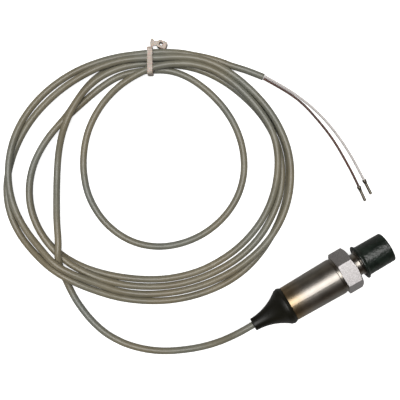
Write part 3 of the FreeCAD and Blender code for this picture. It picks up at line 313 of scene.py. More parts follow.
def leadPoints():
    # the coil's point at an angle is its middle plus the eased distance along that angle, at the
    # eased height; the turns' points follow each other every pointStep degrees
    rows = []
    order = ("crossesUnder", "innerLane", "smallLoop", "topInner", "outerLane", "topOuter",
             "lastBend")
    for turn, name in enumerate(order):
        rows += [(clock + 360 * turn, distance, height) for clock, distance, height in lead[name]]
    keys = np.array(rows, float)
    fine, distances = easedKeys(keys[:, 0], keys[:, 1], lead["ease"])
    fine, heights = easedKeys(keys[:, 0], keys[:, 2], lead["ease"])
    steps = int(round((fine[-1] - fine[0]) / lead["pointStep"]))
    clock = np.linspace(fine[0], fine[-1], steps + 1)
    distance = np.interp(clock, fine, distances) * lead["outset"]
    angle = np.radians(lead["tieDirection"] - clock)
    turns = np.column_stack((lead["coilMiddle"][0] + distance * np.cos(angle),
                             lead["coilMiddle"][1] + distance * np.sin(angle),
                             np.interp(clock, fine, heights)))
    return np.vstack((np.array(lead["fromBoot"], float), turns, np.array(lead["toEnd"], float)))


def cordCurve(name, points, diameter, material):
    # one open quadratic NURBS spline with the points as its control points, swept by a circle
    curve = bpy.data.curves.new(name, "CURVE")
    curve.dimensions = "3D"
    spline = curve.splines.new("NURBS")
    spline.points.add(len(points) - 1)
    flat = np.column_stack((np.asarray(points, float) / 1000, np.ones(len(points))))
    spline.points.foreach_set("co", flat.ravel())
    spline.order_u = 3
    spline.use_endpoint_u = True
    spline.resolution_u = 6         # steps from one point to the next
    curve.bevel_depth = diameter / 2 / 1000
    curve.bevel_resolution = 5
    curve.use_fill_caps = True
    curve.materials.append(material)
    cord = bpy.data.objects.new(name, curve)
    bpy.context.collection.objects.link(cord)
    return cord


def cordLength(points):
    # the quadratic spline through the middles of its control runs, measured in millimetres
    points = np.asarray(points, float)
    middles = (points[1:] + points[:-1]) / 2
    starts = np.vstack((points[:1], middles[1:-1]))
    ends = np.vstack((middles[1:-1], points[-1:]))
    share = np.linspace(0, 1, 9)[:, None, None]
    line = (1 - share) ** 2 * starts + 2 * share * (1 - share) * points[1:-1] + share ** 2 * ends
    return float(np.linalg.norm(np.diff(line, axis=0), axis=2).sum())


def perMetre(millimetres):
    # a noise's patches are about one over its scale, in metres
    return 1000 / millimetres


jacketLook = {
    "shade": "#6A6657", "body": "#7B7767", "pale": "#8B8879",
    "cool": "#6F7775", "warm": "#86795F",   # where the jacket's tone drifts, over 45 mm
    "drift": 45.0, "driftShare": 0.5,
    "handMarks": 11.0,      # millimetres across
    "grain": 0.7,           # a real grain of 0.1 mm, drawn coarse enough to show
    "ring": 1.6,            # millimetres from one ring of the cooling bath to the next
    "ringShare": 0.35,      # of the relief, beside the grain
    "ringLength": 2150.0,   # millimetres of lead that the rings are spread over
    "relief": 0.16,
    "rough": (0.26, 0.4),
}


def extrudedJacket(look):
    # PVC jacket, extruded and then coiled: satin, with faint rings round it and hand marks that
    # leave it a little lighter and duller in places. A ring is a sine of the distance along the
    # lead, which the curve's own U gives as a share of the length.
    material, tree = startMaterial("pvc_jacket_extruded")
    place = addNode(tree, "ShaderNodeTexCoord")
    marks = addNode(tree, "ShaderNodeTexNoise",
                    {"Scale": perMetre(look["handMarks"]), "Detail": 4.0, "Roughness": 0.6},
                    {"Vector": place.outputs["Object"]})
    grain = addNode(tree, "ShaderNodeTexNoise", {"Scale": perMetre(look["grain"]), "Detail": 2.0},
                    {"Vector": place.outputs["Object"]})
    tone = addNode(tree, "ShaderNodeValToRGB",
                   {"stops": [(0.28, look["shade"]), (0.5, look["body"]), (0.72, look["pale"])]},
                   {"Fac": marks.outputs["Fac"]})
    drift = addNode(tree, "ShaderNodeTexNoise",
                    {"Scale": perMetre(look["drift"]), "Detail": 1.0},
                    {"Vector": place.outputs["Object"]})
    hue = addNode(tree, "ShaderNodeValToRGB",
                  {"stops": [(0.36, look["cool"]), (0.5, look["body"]), (0.64, look["warm"])]},
                  {"Fac": drift.outputs["Fac"]})
    drifted = addNode(tree, "ShaderNodeMixRGB", {0: look["driftShare"]},
                      {1: tone.outputs[0], 2: hue.outputs[0]})
    along = addNode(tree, "ShaderNodeSeparateXYZ", None, {0: place.outputs["UV"]})
    turns = addNode(tree, "ShaderNodeMath",
                    {"operation": "MULTIPLY",
                     1: 2 * math.pi * look["ringLength"] / look["ring"]},
                    {0: along.outputs["X"]})
    rings = addNode(tree, "ShaderNodeMath", {"operation": "SINE"}, {0: turns.outputs[0]})
    gloss = addNode(tree, "ShaderNodeMapRange", {3: look["rough"][0], 4: look["rough"][1]},
                    {0: marks.outputs["Fac"]})
    height = addNode(tree, "ShaderNodeMath",
                     {"operation": "MULTIPLY_ADD", 1: look["ringShare"]},
                     {0: rings.outputs[0], 2: grain.outputs["Fac"]})
    bump = addNode(tree, "ShaderNodeBump", {"Strength": look["relief"], "Distance": 0.0001},
                   {"Height": height.outputs[0]})
    finishMaterial(tree, {"IOR": 1.53},
                   {"Base Color": drifted.outputs[0], "Roughness": gloss.outputs[0],
                    "Normal": bump.outputs["Normal"]})
    return material


def mouldedPlastic(name, look):
    # A moulded or extruded surface: a fine even grain, a drift of tone over some millimetres,
    # and gloss that changes with the drift where it has been handled.
    material, tree = startMaterial(name)
    place = addNode(tree, "ShaderNodeTexCoord")
    drift = addNode(tree, "ShaderNodeTexNoise",
                    {"Scale": perMetre(look.get("drift", 8.0)), "Detail": 3.0},
                    {"Vector": place.outputs["Object"]})
    grain = addNode(tree, "ShaderNodeTexNoise", {"Scale": perMetre(look["grain"]), "Detail": 2.0},
                    {"Vector": place.outputs["Object"]})
    tone = addNode(tree, "ShaderNodeValToRGB",
                   {"stops": [(0.3, look["body"]), (0.72, look["pale"])]},
                   {"Fac": drift.outputs["Fac"]})
    gloss = addNode(tree, "ShaderNodeMapRange", {3: look["rough"] - 0.05, 4: look["rough"] + 0.07},
                    {0: drift.outputs["Fac"]})
    bump = addNode(tree, "ShaderNodeBump", {"Strength": look["relief"], "Distance": 0.0001},
                   {"Height": grain.outputs["Fac"]})
    if "sink" in look:      # the slight sinks and flow marks of a thin wall, under the grain
        sink = addNode(tree, "ShaderNodeTexNoise",
                       {"Scale": perMetre(look["sink"]), "Detail": 1.0},
                       {"Vector": place.outputs["Object"]})
        bump = addNode(tree, "ShaderNodeBump",
                       {"Strength": look["sinkRelief"], "Distance": 0.0004},
                       {"Height": sink.outputs["Fac"], "Normal": bump.outputs["Normal"]})
    settings = {"IOR": look["ior"]}
    settings.update(look.get("more", {}))
    finishMaterial(tree, settings,
                   {"Base Color": tone.outputs[0], "Roughness": gloss.outputs[0],
                    "Normal": bump.outputs["Normal"]})
    return material


def turnedMetal(name, look):
    # Turned metal: fine rings from the tool's feed run round the axis, which lies along X, so
    # they draw a highlight out across them, over a faint clouding 6 mm across.
    material, tree = startMaterial(name)
    place = addNode(tree, "ShaderNodeTexCoord")
    across = addNode(tree, "ShaderNodeMapping", {"Scale": (1.0, 0.02, 0.02)},
                     {"Vector": place.outputs["Object"]})
    feed = addNode(tree, "ShaderNodeTexNoise",
                   {"Scale": perMetre(look["feed"]), "Detail": 3.0, "Roughness": 0.7},
                   {"Vector": across.outputs["Vector"]})
    cloud = addNode(tree, "ShaderNodeTexNoise", {"Scale": perMetre(6.0), "Detail": 3.0},
                    {"Vector": place.outputs["Object"]})
    tone = addNode(tree, "ShaderNodeValToRGB",
                   {"stops": [(0.3, look["body"]), (0.7, look["pale"])]},
                   {"Fac": cloud.outputs["Fac"]})
    colour = tone.outputs[0]
    if "paintedStrawReflection" in look:     # a painted warm reflection in the colour, fading along the axis
        along = addNode(tree, "ShaderNodeSeparateXYZ", None, {0: place.outputs["Object"]})
        warm = addNode(tree, "ShaderNodeMapRange",
                       {1: look["reflectionEnds"], 2: look["reflectionStarts"], 3: 0.0,
                        4: look["reflectionShare"]}, {0: along.outputs["X"]})
        paintedReflection = addNode(tree, "ShaderNodeMixRGB", {2: linearColour(look["paintedStrawReflection"])},
                         {0: warm.outputs[0], 1: colour})
        colour = paintedReflection.outputs[0]
    gloss = addNode(tree, "ShaderNodeMapRange", {3: look["rough"] - 0.05, 4: look["rough"] + 0.06},
                    {0: cloud.outputs["Fac"]})
    bump = addNode(tree, "ShaderNodeBump", {"Strength": look["relief"], "Distance": 0.00005},
                   {"Height": feed.outputs["Fac"]})
    finishMaterial(tree, {"Metallic": 1.0},
                   {"Base Color": colour, "Roughness": gloss.outputs[0],
                    "Normal": bump.outputs["Normal"]})
    return material


def tumbledSteel(look):
    # Stainless hexagon bar, milled and then tumbled with stones: matt and evenly bright, with a
    # fine speckle of pits.
    material, tree = startMaterial("stainless_bar_tumbled")
    place = addNode(tree, "ShaderNodeTexCoord")
    speckle = addNode(tree, "ShaderNodeTexNoise",
                      {"Scale": perMetre(look["pits"]), "Detail": 3.0, "Roughness": 0.65},
                      {"Vector": place.outputs["Object"]})
    tone = addNode(tree, "ShaderNodeValToRGB",
                   {"stops": [(0.32, look["body"]), (0.68, look["pale"])]},
                   {"Fac": speckle.outputs["Fac"]})
    gloss = addNode(tree, "ShaderNodeMapRange", {3: look["rough"] - 0.06, 4: look["rough"] + 0.1},
                    {0: speckle.outputs["Fac"]})
    bump = addNode(tree, "ShaderNodeBump", {"Strength": look["relief"], "Distance": 0.0001},
                   {"Height": speckle.outputs["Fac"]})
    finishMaterial(tree, {"Metallic": 1.0},
                   {"Base Color": tone.outputs[0], "Roughness": gloss.outputs[0],
                    "Normal": bump.outputs["Normal"]})
    return material


jacketMaterial = extrudedJacket(jacketLook)

# Chloroprene rubber, compression moulded: near black with a soft sheen and no sharp mirror.
# Its grain is 0.1 mm, drawn at 0.4 mm.
bootMaterial = mouldedPlastic("chloroprene_rubber_moulded", {
    "body": "#0C0C06", "pale": "#15140B", "rough": 0.42, "grain": 0.4, "relief": 0.14,
    "ior": 1.5, "more": {"Specular IOR Level": 0.4}})

# Polyethylene, injection moulded in a thin wall: greenish black, waxy, and its highlight is
# broken up by slight sinks about 1.4 mm across.
capMaterial = mouldedPlastic("polyethylene_cap_moulded", {
    "body": "#0B130F", "pale": "#1B2620", "rough": 0.34, "grain": 0.5, "relief": 0.12,
    "sink": 1.4, "sinkRelief": 0.62, "ior": 1.54, "drift": 3.0})

# PVC core insulation, extruded thin over fine strands: smooth and a little glossy.
brownMaterial = mouldedPlastic("pvc_core_brown_extruded", {
    "body": "#3A1A0C", "pale": "#52270F", "rough": 0.4, "grain": 0.4, "relief": 0.05, "ior": 1.53})
whiteMaterial = mouldedPlastic("pvc_core_white_extruded", {
    "body": "#C3BDBA", "pale": "#CFC9C6", "rough": 0.42, "grain": 0.4, "relief": 0.03,
    "ior": 1.53})

# Natural polyamide, injection moulded and pulled tight: milky, slightly pink, with light that
# goes a millimetre deep and a dull rub where the strap was bent.
tieMaterial = mouldedPlastic("nylon_tie_moulded", {
    "body": "#A5978A", "pale": "#CBBDB0", "rough": 0.42, "grain": 0.45, "relief": 0.12,
    "ior": 1.53, "drift": 2.2, "more": {"Subsurface Weight": 0.12, "Subsurface Scale": 0.001}})

# Stainless steel tube, turned and brushed: a broad soft highlight along it, dark brown where it
# mirrors the dark studio, and a straw-coloured painted reflection in the colour towards the boot
# end. The feed of 0.05 mm is drawn at 0.2 mm.
canMaterial = turnedMetal("stainless_can_turned", {
    "body": "#8D8882", "pale": "#A49F99", "rough": 0.37, "feed": 0.2, "relief": 0.14,
    "paintedStrawReflection": "#A5812F", "reflectionStarts": -0.0178, "reflectionEnds": -0.008, "reflectionShare": 0.5})

# Stainless steel bar, turned at a coarser feed: brighter edges and a tighter highlight.
portMaterial = turnedMetal("stainless_port_turned", {
    "body": "#88837C", "pale": "#9D9892", "rough": 0.3, "feed": 0.24, "relief": 0.12})

# The pits of the tumbled hexagon are 0.1 mm, drawn at 0.4 mm.
hexMaterial = tumbledSteel({
    "body": "#9A9797", "pale": "#CBC8C9", "rough": 0.38, "pits": 0.4, "relief": 0.14})

# Copper sleeves, tinned and crimped: grey and dull, with tool marks 0.4 mm apart.
ferruleMaterial = turnedMetal("copper_sleeve_tinned", {
    "body": "#5F5A51", "pale": "#7C766B", "rough": 0.42, "feed": 0.4, "relief": 0.2})

# Alumina, sintered: chalky and pale, with a grain that only dulls the highlight.
ceramicMaterial = mouldedPlastic("alumina_ceramic_sintered", {
    "body": "#D9D2C4", "pale": "#ECE7DC", "rough": 0.55, "grain": 0.33, "relief": 0.08,
    "ior": 1.75})

# Fluoro rubber rings, moulded and deflashed: dull black.
sealMaterial = mouldedPlastic("fluoro_rubber_ring_moulded", {
    "body": "#16140F", "pale": "#211E18", "rough": 0.5, "grain": 0.4, "relief": 0.1, "ior": 1.5})

# Glass-filled polyester, moulded: dark grey, with fibres that roughen it.
plugMaterial = mouldedPlastic("polyester_plug_moulded", {
    "body": "#1C1E20", "pale": "#292C2E", "rough": 0.45, "grain": 0.4, "relief": 0.12,
    "ior": 1.55})

# Glass epoxy laminate, pressed and lacquered green: glossy over a weave 0.6 mm across.
boardMaterial = mouldedPlastic("glass_epoxy_laminate_pressed", {
    "body": "#1F4A2E", "pale": "#2C6140", "rough": 0.35, "grain": 0.6, "relief": 0.1,
    "ior": 1.55})

# Epoxy chip and capacitor bodies, transfer moulded: matt charcoal.
chipMaterial = mouldedPlastic("epoxy_chip_transfer_moulded", {
    "body": "#1A1B1D", "pale": "#26282A", "rough": 0.55, "grain": 0.33, "relief": 0.1,
    "ior": 1.55})

# Brass, turned: warm yellow with a drawn-out highlight.
brassMaterial = turnedMetal("brass_ring_turned", {
    "body": "#B58B45", "pale": "#C79F58", "rough": 0.28, "feed": 0.24, "relief": 0.1})

# Bronze pins, gold plated: smooth and warm, brighter than the brass.
goldMaterial = turnedMetal("bronze_pin_gold_plated", {
    "body": "#D8A845", "pale": "#E4BC62", "rough": 0.22, "feed": 0.28, "relief": 0.05})
print("materials ready")

leadRoute = leadPoints()
leadCord = cordCurve("jacketed_lead", leadRoute, lead["diameter"], jacketMaterial)
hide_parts("cable_lead", "cable_coil", "cable_end")
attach(leadCord, "transmitter")

cores = {
    "diameter": 1.2,
    "brown": [(28.45, 102.05, 1.75), (33.3, 94.2, 1.3), (37.6, 86, 1.05), (39.9, 79.2, 1.05),
              (41.5, 71.4, 1.05), (42.8, 63.5, 1.05), (43.5, 55.0, 1.05), (43.4, 46, 1.05),
              (43.1, 37, 1.05), (42.4, 30, 1.05)],
    "white": [(29.5, 102.85, 1.75), (34.5, 94.8, 1.3), (38.9, 86.4, 1.05), (42.4, 77.6, 1.05),
              (45.0, 68.2, 1.05), (46.4, 58.7, 1.05), (47, 49.5, 1.05), (46.9, 40, 1.05),
              (46.4, 31.5, 1.05)],
}
for colour, material in (("brown", brownMaterial), ("white", whiteMaterial)):
    route = cores[colour]
    core = cordCurve("core_insulated_" + colour, route, cores["diameter"], material)
    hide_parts("core_" + colour)
    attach(core, "transmitter")
print("cords laid: the lead is", round(cordLength(leadRoute)), "mm long")


# Stations are counted in millimetres from the boot's tip along X, and radii from the axis.
axis = {"tip": -37.8, "height": 9.5, "columns": 192}
columns = axis["columns"]
angle = np.arange(columns) * 2 * math.pi / columns


def roundedOutline(corners, pieces=6):
    # corners are (station, radius, rounding); each rounding becomes an arc that touches both
    # sides of its corner, drawn as points evenly spread over the turn
    corners = np.array(corners, float)
    rows = []
    count = len(corners)
    for number in range(count):
        here, rounding = corners[number, :2], corners[number, 2]
        if rounding == 0:
            rows.append(here[None])
            continue
        before = corners[number - 1, :2] - here
        after = corners[(number + 1) % count, :2] - here
        before, after = before / np.linalg.norm(before), after / np.linalg.norm(after)
        halfAngle = math.acos(np.clip(before @ after, -1, 1)) / 2
        setback = rounding / math.tan(halfAngle)
        centre = here + (before + after) / np.linalg.norm(before + after) * (
            rounding / math.sin(halfAngle))
        first, last = here + before * setback - centre, here + after * setback - centre
        share = np.linspace(0, 1, pieces)[:, None]
        arc = first * (1 - share) + last * share
        rows.append(centre + arc / np.linalg.norm(arc, axis=1)[:, None] * rounding)
    return np.vstack(rows)


def gridFaces(rowCount, columnCount):
    # quads between neighbouring rows and columns of a grid that closes on itself both ways
    row, column = np.meshgrid(np.arange(rowCount), np.arange(columnCount), indexing="ij")
    nextRow, nextColumn = (row + 1) % rowCount, (column + 1) % columnCount
    faces = np.stack((row * columnCount + column, row * columnCount + nextColumn,
                      nextRow * columnCount + nextColumn, nextRow * columnCount + column), axis=-1)
    return faces.reshape(-1, 4)


def meshPiece(name, points, faces, material, slot, replaced, body="transmitter", sharp=32):
    # points in millimetres; edges that turn by more than the sharp angle stay crisp
    mesh = bpy.data.meshes.new(name)
    mesh.from_pydata((points / 1000).tolist(), [], faces.tolist())
    bm = bmesh.new()
    bm.from_mesh(mesh)
    bmesh.ops.remove_doubles(bm, verts=bm.verts, dist=1e-7)
    bmesh.ops.recalc_face_normals(bm, faces=bm.faces)
    bm.to_mesh(mesh)
    bm.free()
    mesh.polygons.foreach_set("use_smooth", np.ones(len(mesh.polygons), bool))
    mesh.set_sharp_from_angle(angle=math.radians(sharp))
    mesh.materials.append(material)
    piece = bpy.data.objects.new(name, mesh)
    bpy.context.collection.objects.link(piece)
    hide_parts(*replaced)
    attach(piece, body)
    return piece


def aroundAxis(outline):
    # one row of radii for each point of the outline, the same at every angle
    return outline[:, :1], np.repeat(outline[:, 1:2], columns, axis=1)


def turnedPiece(name, stations, radii, *finish, **more):
    # a point is its station along X, with its radius turned through the angle from the Y axis
    points = np.stack((np.broadcast_to(stations + axis["tip"], radii.shape),
                       radii * np.cos(angle), axis["height"] + radii * np.sin(angle)), axis=-1)
    return meshPiece(name, points.reshape(-1, 3), gridFaces(len(radii), columns), *finish, **more)


# The boot: rubber, with a hollow flank that widens to a soft rim in front of the can, and a
# pocket in its back that grips the end plug's barbed nose.
boot = {
    "length": 20.0, "tipRadius": 3.25, "flankRadius": 27.0, "flankLength": 16.6,
    "rimStation": 18.4, "rimRadius": 9.45, "rimRounding": 0.9,
    "seatRadius": 8.75, "seatRounding": 0.25, "bore": 1.75,
    "plugEnd": 23.0, "plugRadius": 7.72, "nose": (18.8, 20.9), "noseRadii": (3.53, 4.53, 4.03),
}
# the flank is an arc whose middle stands off the tip by the tip's radius plus the arc's own
flankStations = np.linspace(0.35, boot["flankLength"], 26)
flank = (boot["tipRadius"] + boot["flankRadius"]
         - np.sqrt(boot["flankRadius"] ** 2 - flankStations ** 2))
bootOutline = np.vstack((
    [(0.0, boot["bore"]), (0.0, boot["tipRadius"] - 0.3), (0.1, boot["tipRadius"] - 0.08)],
    np.column_stack((flankStations, flank)),
    roundedOutline([(boot["flankLength"], flank[-1], 0),
                    (boot["rimStation"], boot["rimRadius"], boot["rimRounding"]),
                    (boot["length"], boot["seatRadius"], boot["seatRounding"]),
                    (boot["length"], boot["plugRadius"], 0),
                    (boot["plugEnd"], boot["plugRadius"], 0),
                    (boot["plugEnd"], boot["noseRadii"][2], 0),
                    (boot["nose"][1], boot["noseRadii"][2], 0),
                    (boot["nose"][1], boot["noseRadii"][1], 0),
                    (boot["nose"][0], boot["noseRadii"][0], 0),
                    (boot["nose"][0], boot["bore"], 0)])[1:],
))
turnedPiece("boot_moulded", *aroundAxis(bootOutline), bootMaterial, "boot_rubber",
            ["strain_relief_boot"], sharp=50)

# The cap: a thin push-on cup with a flared lip and three vent flutes inside.
cap = {
    "mouth": 59.9, "lipRadius": 8.6, "lipThickness": 0.8, "lipRoundings": (0.15, 0.28, 0.22),
    "flareLength": 1.5, "wallRadius": 7.58,
    "draft": 0.1, "overall": 75.6, "boreRadius": 6.63, "innerEnd": 73.9, "endRounding": 0.8,
    "flutes": 3, "fluteDepth": 0.15, "fluteWidth": 1.2,
}
# the flare is an arc that leaves the wall along it and rises to the lip over its own length
flareRise = cap["lipRadius"] - cap["wallRadius"]
flareRadius = (cap["flareLength"] ** 2 + flareRise ** 2) / (2 * flareRise)
flareStation = np.linspace(0, cap["flareLength"], 9)[1:]
flareHeight = (cap["wallRadius"] + flareRadius
               - np.sqrt(flareRadius ** 2 - (cap["flareLength"] - flareStation) ** 2))
lipBack = cap["mouth"] + cap["lipThickness"]
capOutline = np.vstack((
    roundedOutline([(cap["innerEnd"], cap["boreRadius"], 0),
                    (cap["mouth"], cap["boreRadius"], cap["lipRoundings"][0]),
                    (cap["mouth"], cap["lipRadius"], cap["lipRoundings"][1]),
                    (lipBack, cap["lipRadius"], cap["lipRoundings"][2]),
                    (lipBack + 0.3, cap["lipRadius"] - 0.6, 0)])[:-1],
    np.column_stack((lipBack + flareStation, flareHeight)),
    roundedOutline([(lipBack + cap["flareLength"], cap["wallRadius"], 0),
                    (cap["overall"], cap["wallRadius"] - cap["draft"], cap["endRounding"]),
                    (cap["overall"], 0.0, 0)], 9)[1:],
    [(cap["innerEnd"], 0.0)],
))
capStations, capRadii = aroundAxis(capOutline)
# each flute deepens the bore where the angle is within half its width of one of three directions
between = 2 * math.pi / cap["flutes"]
away = np.abs((angle * cap["flutes"] / (2 * math.pi) + 0.5) % 1 - 0.5) * between
inFlute = away * cap["boreRadius"] < cap["fluteWidth"] / 2
boreRows = np.abs(capOutline[:, 1] - cap["boreRadius"]) < 0.01
capRadii[np.ix_(boreRows, inFlute)] += cap["fluteDepth"]
turnedPiece("cap_moulded", capStations, capRadii, capMaterial, "cap_plastic", ["protective_cap"],
            body="cap", sharp=40)

# The port: one bar, turned, its hexagon milled, with a pipe thread cut on the stem.
port = {
    "spigotStart": 44.0, "socketRadius": 6.75, "spigotRadius": 7.72, "canEnd": 47.0,
    "ringRadius": 8.95, "bluntRim": 0.12,       # the ring's edge, broken by tumbling
    "hexStart": 48.3, "hexEnd": 56.3, "hexFlats": 19.0, "chamfer": 0.849, "backChamfer": 0.3,
    "reliefRadius": 5.6, "reliefEnd": 60.0, "runOut": 0.95,
    "majorRadius": 6.55, "rootRadius": 5.76, "pitch": 1.337, "threadStep": 0.07,
    "flankSlope": 1.34, "rootShare": 0.17,
    "stemEnd": 73.0, "stemChamfer": 1.0, "boreRadius": 1.75, "countersink": 0.6,
    "socketFloor": 53.0,
}
corner = port["hexFlats"] / 2 / math.cos(math.pi / 6)
chamferRise = np.linspace(0, 1, 12)
threadStart = port["reliefEnd"] - port["runOut"]
threadStations = np.arange(threadStart, port["stemEnd"] - 0.02, port["threadStep"])
portOutline = np.vstack((
    [(port["spigotStart"], port["socketRadius"]), (port["spigotStart"], port["spigotRadius"]),
     (port["canEnd"], port["spigotRadius"])],
    roundedOutline([(port["canEnd"], port["spigotRadius"], 0),
                    (port["canEnd"], port["ringRadius"], port["bluntRim"]),
                    (port["hexStart"], port["ringRadius"], 0)])[1:],
    np.column_stack((port["hexStart"] + port["backChamfer"] * chamferRise,
                     port["hexFlats"] / 2 + (corner - port["hexFlats"] / 2) * chamferRise)),
    np.column_stack((np.linspace(port["hexStart"] + 0.8, port["hexEnd"] - 1.2, 5),
                     np.full(5, corner))),
    np.column_stack((port["hexEnd"] - port["chamfer"] * chamferRise[::-1],
                     port["hexFlats"] / 2 + (corner - port["hexFlats"] / 2) * chamferRise[::-1])),
    [(port["hexEnd"], port["reliefRadius"] + 0.3),
     (port["hexEnd"] + 0.08, port["reliefRadius"] + 0.08),
     (port["hexEnd"] + 0.3, port["reliefRadius"])],
    np.column_stack((threadStations,
                     np.minimum(port["majorRadius"], np.minimum(
                         port["reliefRadius"] + threadStations - threadStart,
                         port["majorRadius"] + port["stemEnd"] - port["stemChamfer"]
                         - threadStations)))),
    [(port["stemEnd"], port["majorRadius"] - port["stemChamfer"]),
     (port["stemEnd"], port["boreRadius"] + port["countersink"]),
     (port["stemEnd"] - port["countersink"], port["boreRadius"]),
     (port["socketFloor"], port["boreRadius"]), (port["socketFloor"], port["socketRadius"])],
))
stations, radii = aroundAxis(portOutline)
# between the hexagon's faces no point lies further out than the flats, whose distance from the
# axis is half the width over the cosine of the angle from the middle of the flat
fromFlat = (angle % (math.pi / 3)) - math.pi / 6
onHex = (stations[:, 0] >= port["hexStart"] - 1e-6) & (stations[:, 0] <= port["hexEnd"] + 1e-6)
flats = port["hexFlats"] / 2 / np.cos(fromFlat)
radii[onHex] = np.minimum(radii[onHex], flats)
# the thread is a 55 degree groove whose depth follows the share of a pitch, which moves on by
# one pitch in each turn; crest and root are eased by a smooth step
onStem = (stations[:, 0] > threadStart - 0.01) & (stations[:, 0] < port["stemEnd"] - 0.01)
share = (stations[onStem] / port["pitch"] - angle / (2 * math.pi)) % 1
wedge = np.clip(np.abs(share * 2 - 1) * port["flankSlope"] - port["rootShare"], 0, 1)
wedge = wedge * wedge * (3 - 2 * wedge)
threaded = port["rootRadius"] + (port["majorRadius"] - port["rootRadius"]) * wedge
radii[onStem] = np.minimum(radii[onStem], threaded)
portPiece = turnedPiece("port_turned", stations, radii, portMaterial, "stainless",
                        ["pressure_port"], sharp=26)
# the faces of the hexagon beyond the ring get the tumbled steel
portPiece.data.materials.append(hexMaterial)
middles = np.empty(len(portPiece.data.polygons) * 3)
portPiece.data.polygons.foreach_get("center", middles)
middles = middles.reshape(-1, 3)
reach = np.hypot(middles[:, 1], middles[:, 2] - axis["height"] / 1000) * 1000
along = middles[:, 0] * 1000 - axis["tip"]
isHex = ((along > port["hexStart"] - 0.01) & (along < port["hexEnd"] + 0.01)
         & (reach > port["ringRadius"] + 0.02))
portPiece.data.polygons.foreach_set("material_index", isHex.astype(np.int32))
print("turned pieces made")


# The cable tie: a toothed strap round the bundle, with its head and cut-off tail beside it. Its
# own directions are the tangent and the radius of the coil, from the coil's middle.
tie = {
    "tangent": 0.5, "width": 2.8, "thickness": 0.75, "inside": (47.72, 59.88),
    "floor": 0.95, "top": 7.75, "corner": 1.1, "teeth": 1.25, "toothDepth": 0.1,
    "headPlace": (6.4, 62.05), "headSize": (4.8, 3.8), "headTurn": -21.0,
    "headHeights": (1.3, 5.6), "slot": 1.6, "slotShift": (-0.7, 0.1),
    "headPower": 5.5, "slotPower": 7,       # higher is squarer
    "tailHeights": (3.9, 4.9), "tailRounding": 0.22, "tailLift": 0.1, "tailLiftFrom": 62.4,
    "strapStep": 0.14, "tailStep": 0.2, "headPoints": 64,
    "ovalPoints": 28, "ovalPowers": (0.35, 0.55),       # the strap's section; lower is squarer
    "tail": [(0.7, 60.95), (1.7, 61.2), (2.9, 61.7), (4.3, 61.2), (4.5, 63.9), (2.7, 63.9),
             (1.75, 65.1), (0.9, 64.9), (0.4, 63.0)],
}


def tieToWorld(tangent, radius, height):
    # the coil's middle, plus the tangent's share and the radius's share of the two directions
    turn = math.radians(lead["tieDirection"])
    return np.stack((lead["coilMiddle"][0] + tangent * math.sin(turn) + radius * math.cos(turn),
                     lead["coilMiddle"][1] - tangent * math.cos(turn) + radius * math.sin(turn),
                     height), axis=-1).reshape(-1, 3)


def evenLoop(outline, spacing):
    # the closed outline measured along itself and read again at even steps
    closed = np.vstack((outline, outline[:1]))
    reach = np.concatenate(([0], np.cumsum(np.linalg.norm(np.diff(closed, axis=0), axis=1))))
    steps = np.linspace(0, reach[-1], int(reach[-1] / spacing) + 1)[:-1]
    points = np.column_stack([np.interp(steps, reach, closed[:, k]) for k in (0, 1)])
    return points, steps / reach[-1]


# the strap is a flattened oval carried along a rounded rectangle; its half width and its outer
# face dip by a cosine of the distance, one dip for each tooth
halfThick = tie["thickness"] / 2
near, far = tie["inside"][0] - halfThick, tie["inside"][1] + halfThick
low, high = tie["floor"] - halfThick, tie["top"] + halfThick
loop, share = evenLoop(roundedOutline([(near, low, tie["corner"]), (far, low, tie["corner"]),
                                       (far, high, tie["corner"]), (near, high, tie["corner"])],
                                      10), tie["strapStep"])
heading = np.roll(loop, -1, axis=0) - np.roll(loop, 1, axis=0)
heading = heading / np.linalg.norm(heading, axis=1)[:, None]
outward = np.column_stack((heading[:, 1], -heading[:, 0]))
around = np.arange(tie["ovalPoints"]) * 2 * math.pi / tie["ovalPoints"]
oval = np.column_stack([np.sign(wave) * np.abs(wave) ** power for wave, power
                        in zip((np.cos(around), np.sin(around)), tie["ovalPowers"])])
toothCount = round(2 * (far - near + high - low) / tie["teeth"])
dip = tie["toothDepth"] * (0.5 - 0.5 * np.cos(2 * math.pi * toothCount * share))[:, None]
sideways = tie["tangent"] + oval[:, 0] * (tie["width"] / 2 - dip)
depth = halfThick * oval[:, 1] - 0.6 * dip * np.clip(oval[:, 1], 0, 1)
strapPoints = tieToWorld(sideways, loop[:, :1] + outward[:, :1] * depth,
                         loop[:, 1:] + outward[:, 1:] * depth)
strapFaces = gridFaces(len(loop), len(around))

# the head is a ring of rows from its rounded outside over the top and down through the slot; a
# row is a mix of the outside's outline and the slot's, both taken at the same angles
angles = np.arange(tie["headPoints"]) * 2 * math.pi / tie["headPoints"]


def roundedBlock(halfLength, halfWidth, power):
    # a superellipse: the power makes its corners tighter
    size = (np.abs(np.cos(angles) / halfLength) ** power
            + np.abs(np.sin(angles) / halfWidth) ** power) ** (-1 / power)
    return np.column_stack((size * np.cos(angles), size * np.sin(angles)))


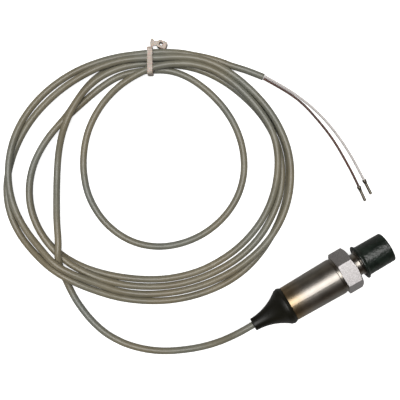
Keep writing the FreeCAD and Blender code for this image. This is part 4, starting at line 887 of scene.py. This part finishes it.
outside = roundedBlock(tie["headSize"][0] / 2, tie["headSize"][1] / 2, tie["headPower"])
inside = (roundedBlock(tie["slot"] / 2, tie["slot"] / 2, tie["slotPower"])
          + np.array(tie["slotShift"]))
bottom, top = tie["headHeights"]
mix = np.array([(0.12, bottom), (0.03, bottom + 0.1), (0, bottom + 0.3), (0, top - 0.4),
                (0.03, top - 0.16), (0.1, top - 0.04), (0.2, top), (0.75, top), (0.93, top - 0.06),
                (1, top - 0.25), (1, bottom + 0.3), (0.93, bottom + 0.06), (0.75, bottom)])
flat = outside * (1 - mix[:, :1, None]) + inside * mix[:, :1, None]
turn = math.radians(tie["headTurn"])
headPoints = tieToWorld(
    tie["headPlace"][0] + flat[..., 0] * math.cos(turn) - flat[..., 1] * math.sin(turn),
    tie["headPlace"][1] + flat[..., 0] * math.sin(turn) + flat[..., 1] * math.cos(turn),
    np.broadcast_to(mix[:, 1:], flat.shape[:2]))
headFaces = gridFaces(len(mix), len(angles))

# the tail is its rounded outline drawn in towards its middle in rows, under and over; it lifts
# with the square of the distance from the bundle
tailCorners = [(*corner, tie["tailRounding"]) for corner in tie["tail"]]
tailLoop = evenLoop(roundedOutline(tailCorners, 5), tie["tailStep"])[0]
middle = tailLoop.mean(axis=0)
under, over = tie["tailHeights"]
rows = np.array([(0.02, under), (0.5, under), (0.93, under), (0.99, under + 0.14),
                 (1, under + 0.35), (1, over - 0.35), (0.99, over - 0.14), (0.93, over),
                 (0.5, over), (0.02, over)])
spread = middle + (tailLoop - middle) * rows[:, :1, None]
lift = tie["tailLift"] * np.clip(spread[..., 1] - tie["tailLiftFrom"], 0, None) ** 2
tailPoints = tieToWorld(spread[..., 0], spread[..., 1], rows[:, 1:] + lift)
tailFaces = gridFaces(len(rows), len(tailLoop))

tiePoints = np.vstack((strapPoints, headPoints, tailPoints))
tieFaces = np.vstack((strapFaces, headFaces + len(strapPoints),
                      tailFaces + len(strapPoints) + len(headPoints)))
meshPiece("tie_moulded", tiePoints, tieFaces, tieMaterial, "tie_nylon", ["cable_tie"], sharp=45)
print("cable tie made")


def dress(names, material):
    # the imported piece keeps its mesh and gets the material
    for name in names:
        node = nodes[name]
        node.data.materials.clear()
        node.data.materials.append(material)


dress(["housing_can"], canMaterial)
dress(["crimp_sleeve"], portMaterial)
dress(["ferrule_brown", "ferrule_white"], ferruleMaterial)
dress(["end_plug", "board_spacer"], plugMaterial)
dress(["plug_seal", "cell_seal"], sealMaterial)
dress(["sensing_cell"], ceramicMaterial)
dress(["retaining_ring"], brassMaterial)
dress(["front_board", "rear_board"], boardMaterial)
dress(["amplifier_parts", "filter_parts"], chipMaterial)
dress(["contact_pins", "link_pins"], goldMaterial)
dress(["inner_core_brown"], brownMaterial)
dress(["inner_core_white"], whiteMaterial)
print("inner pieces dressed")
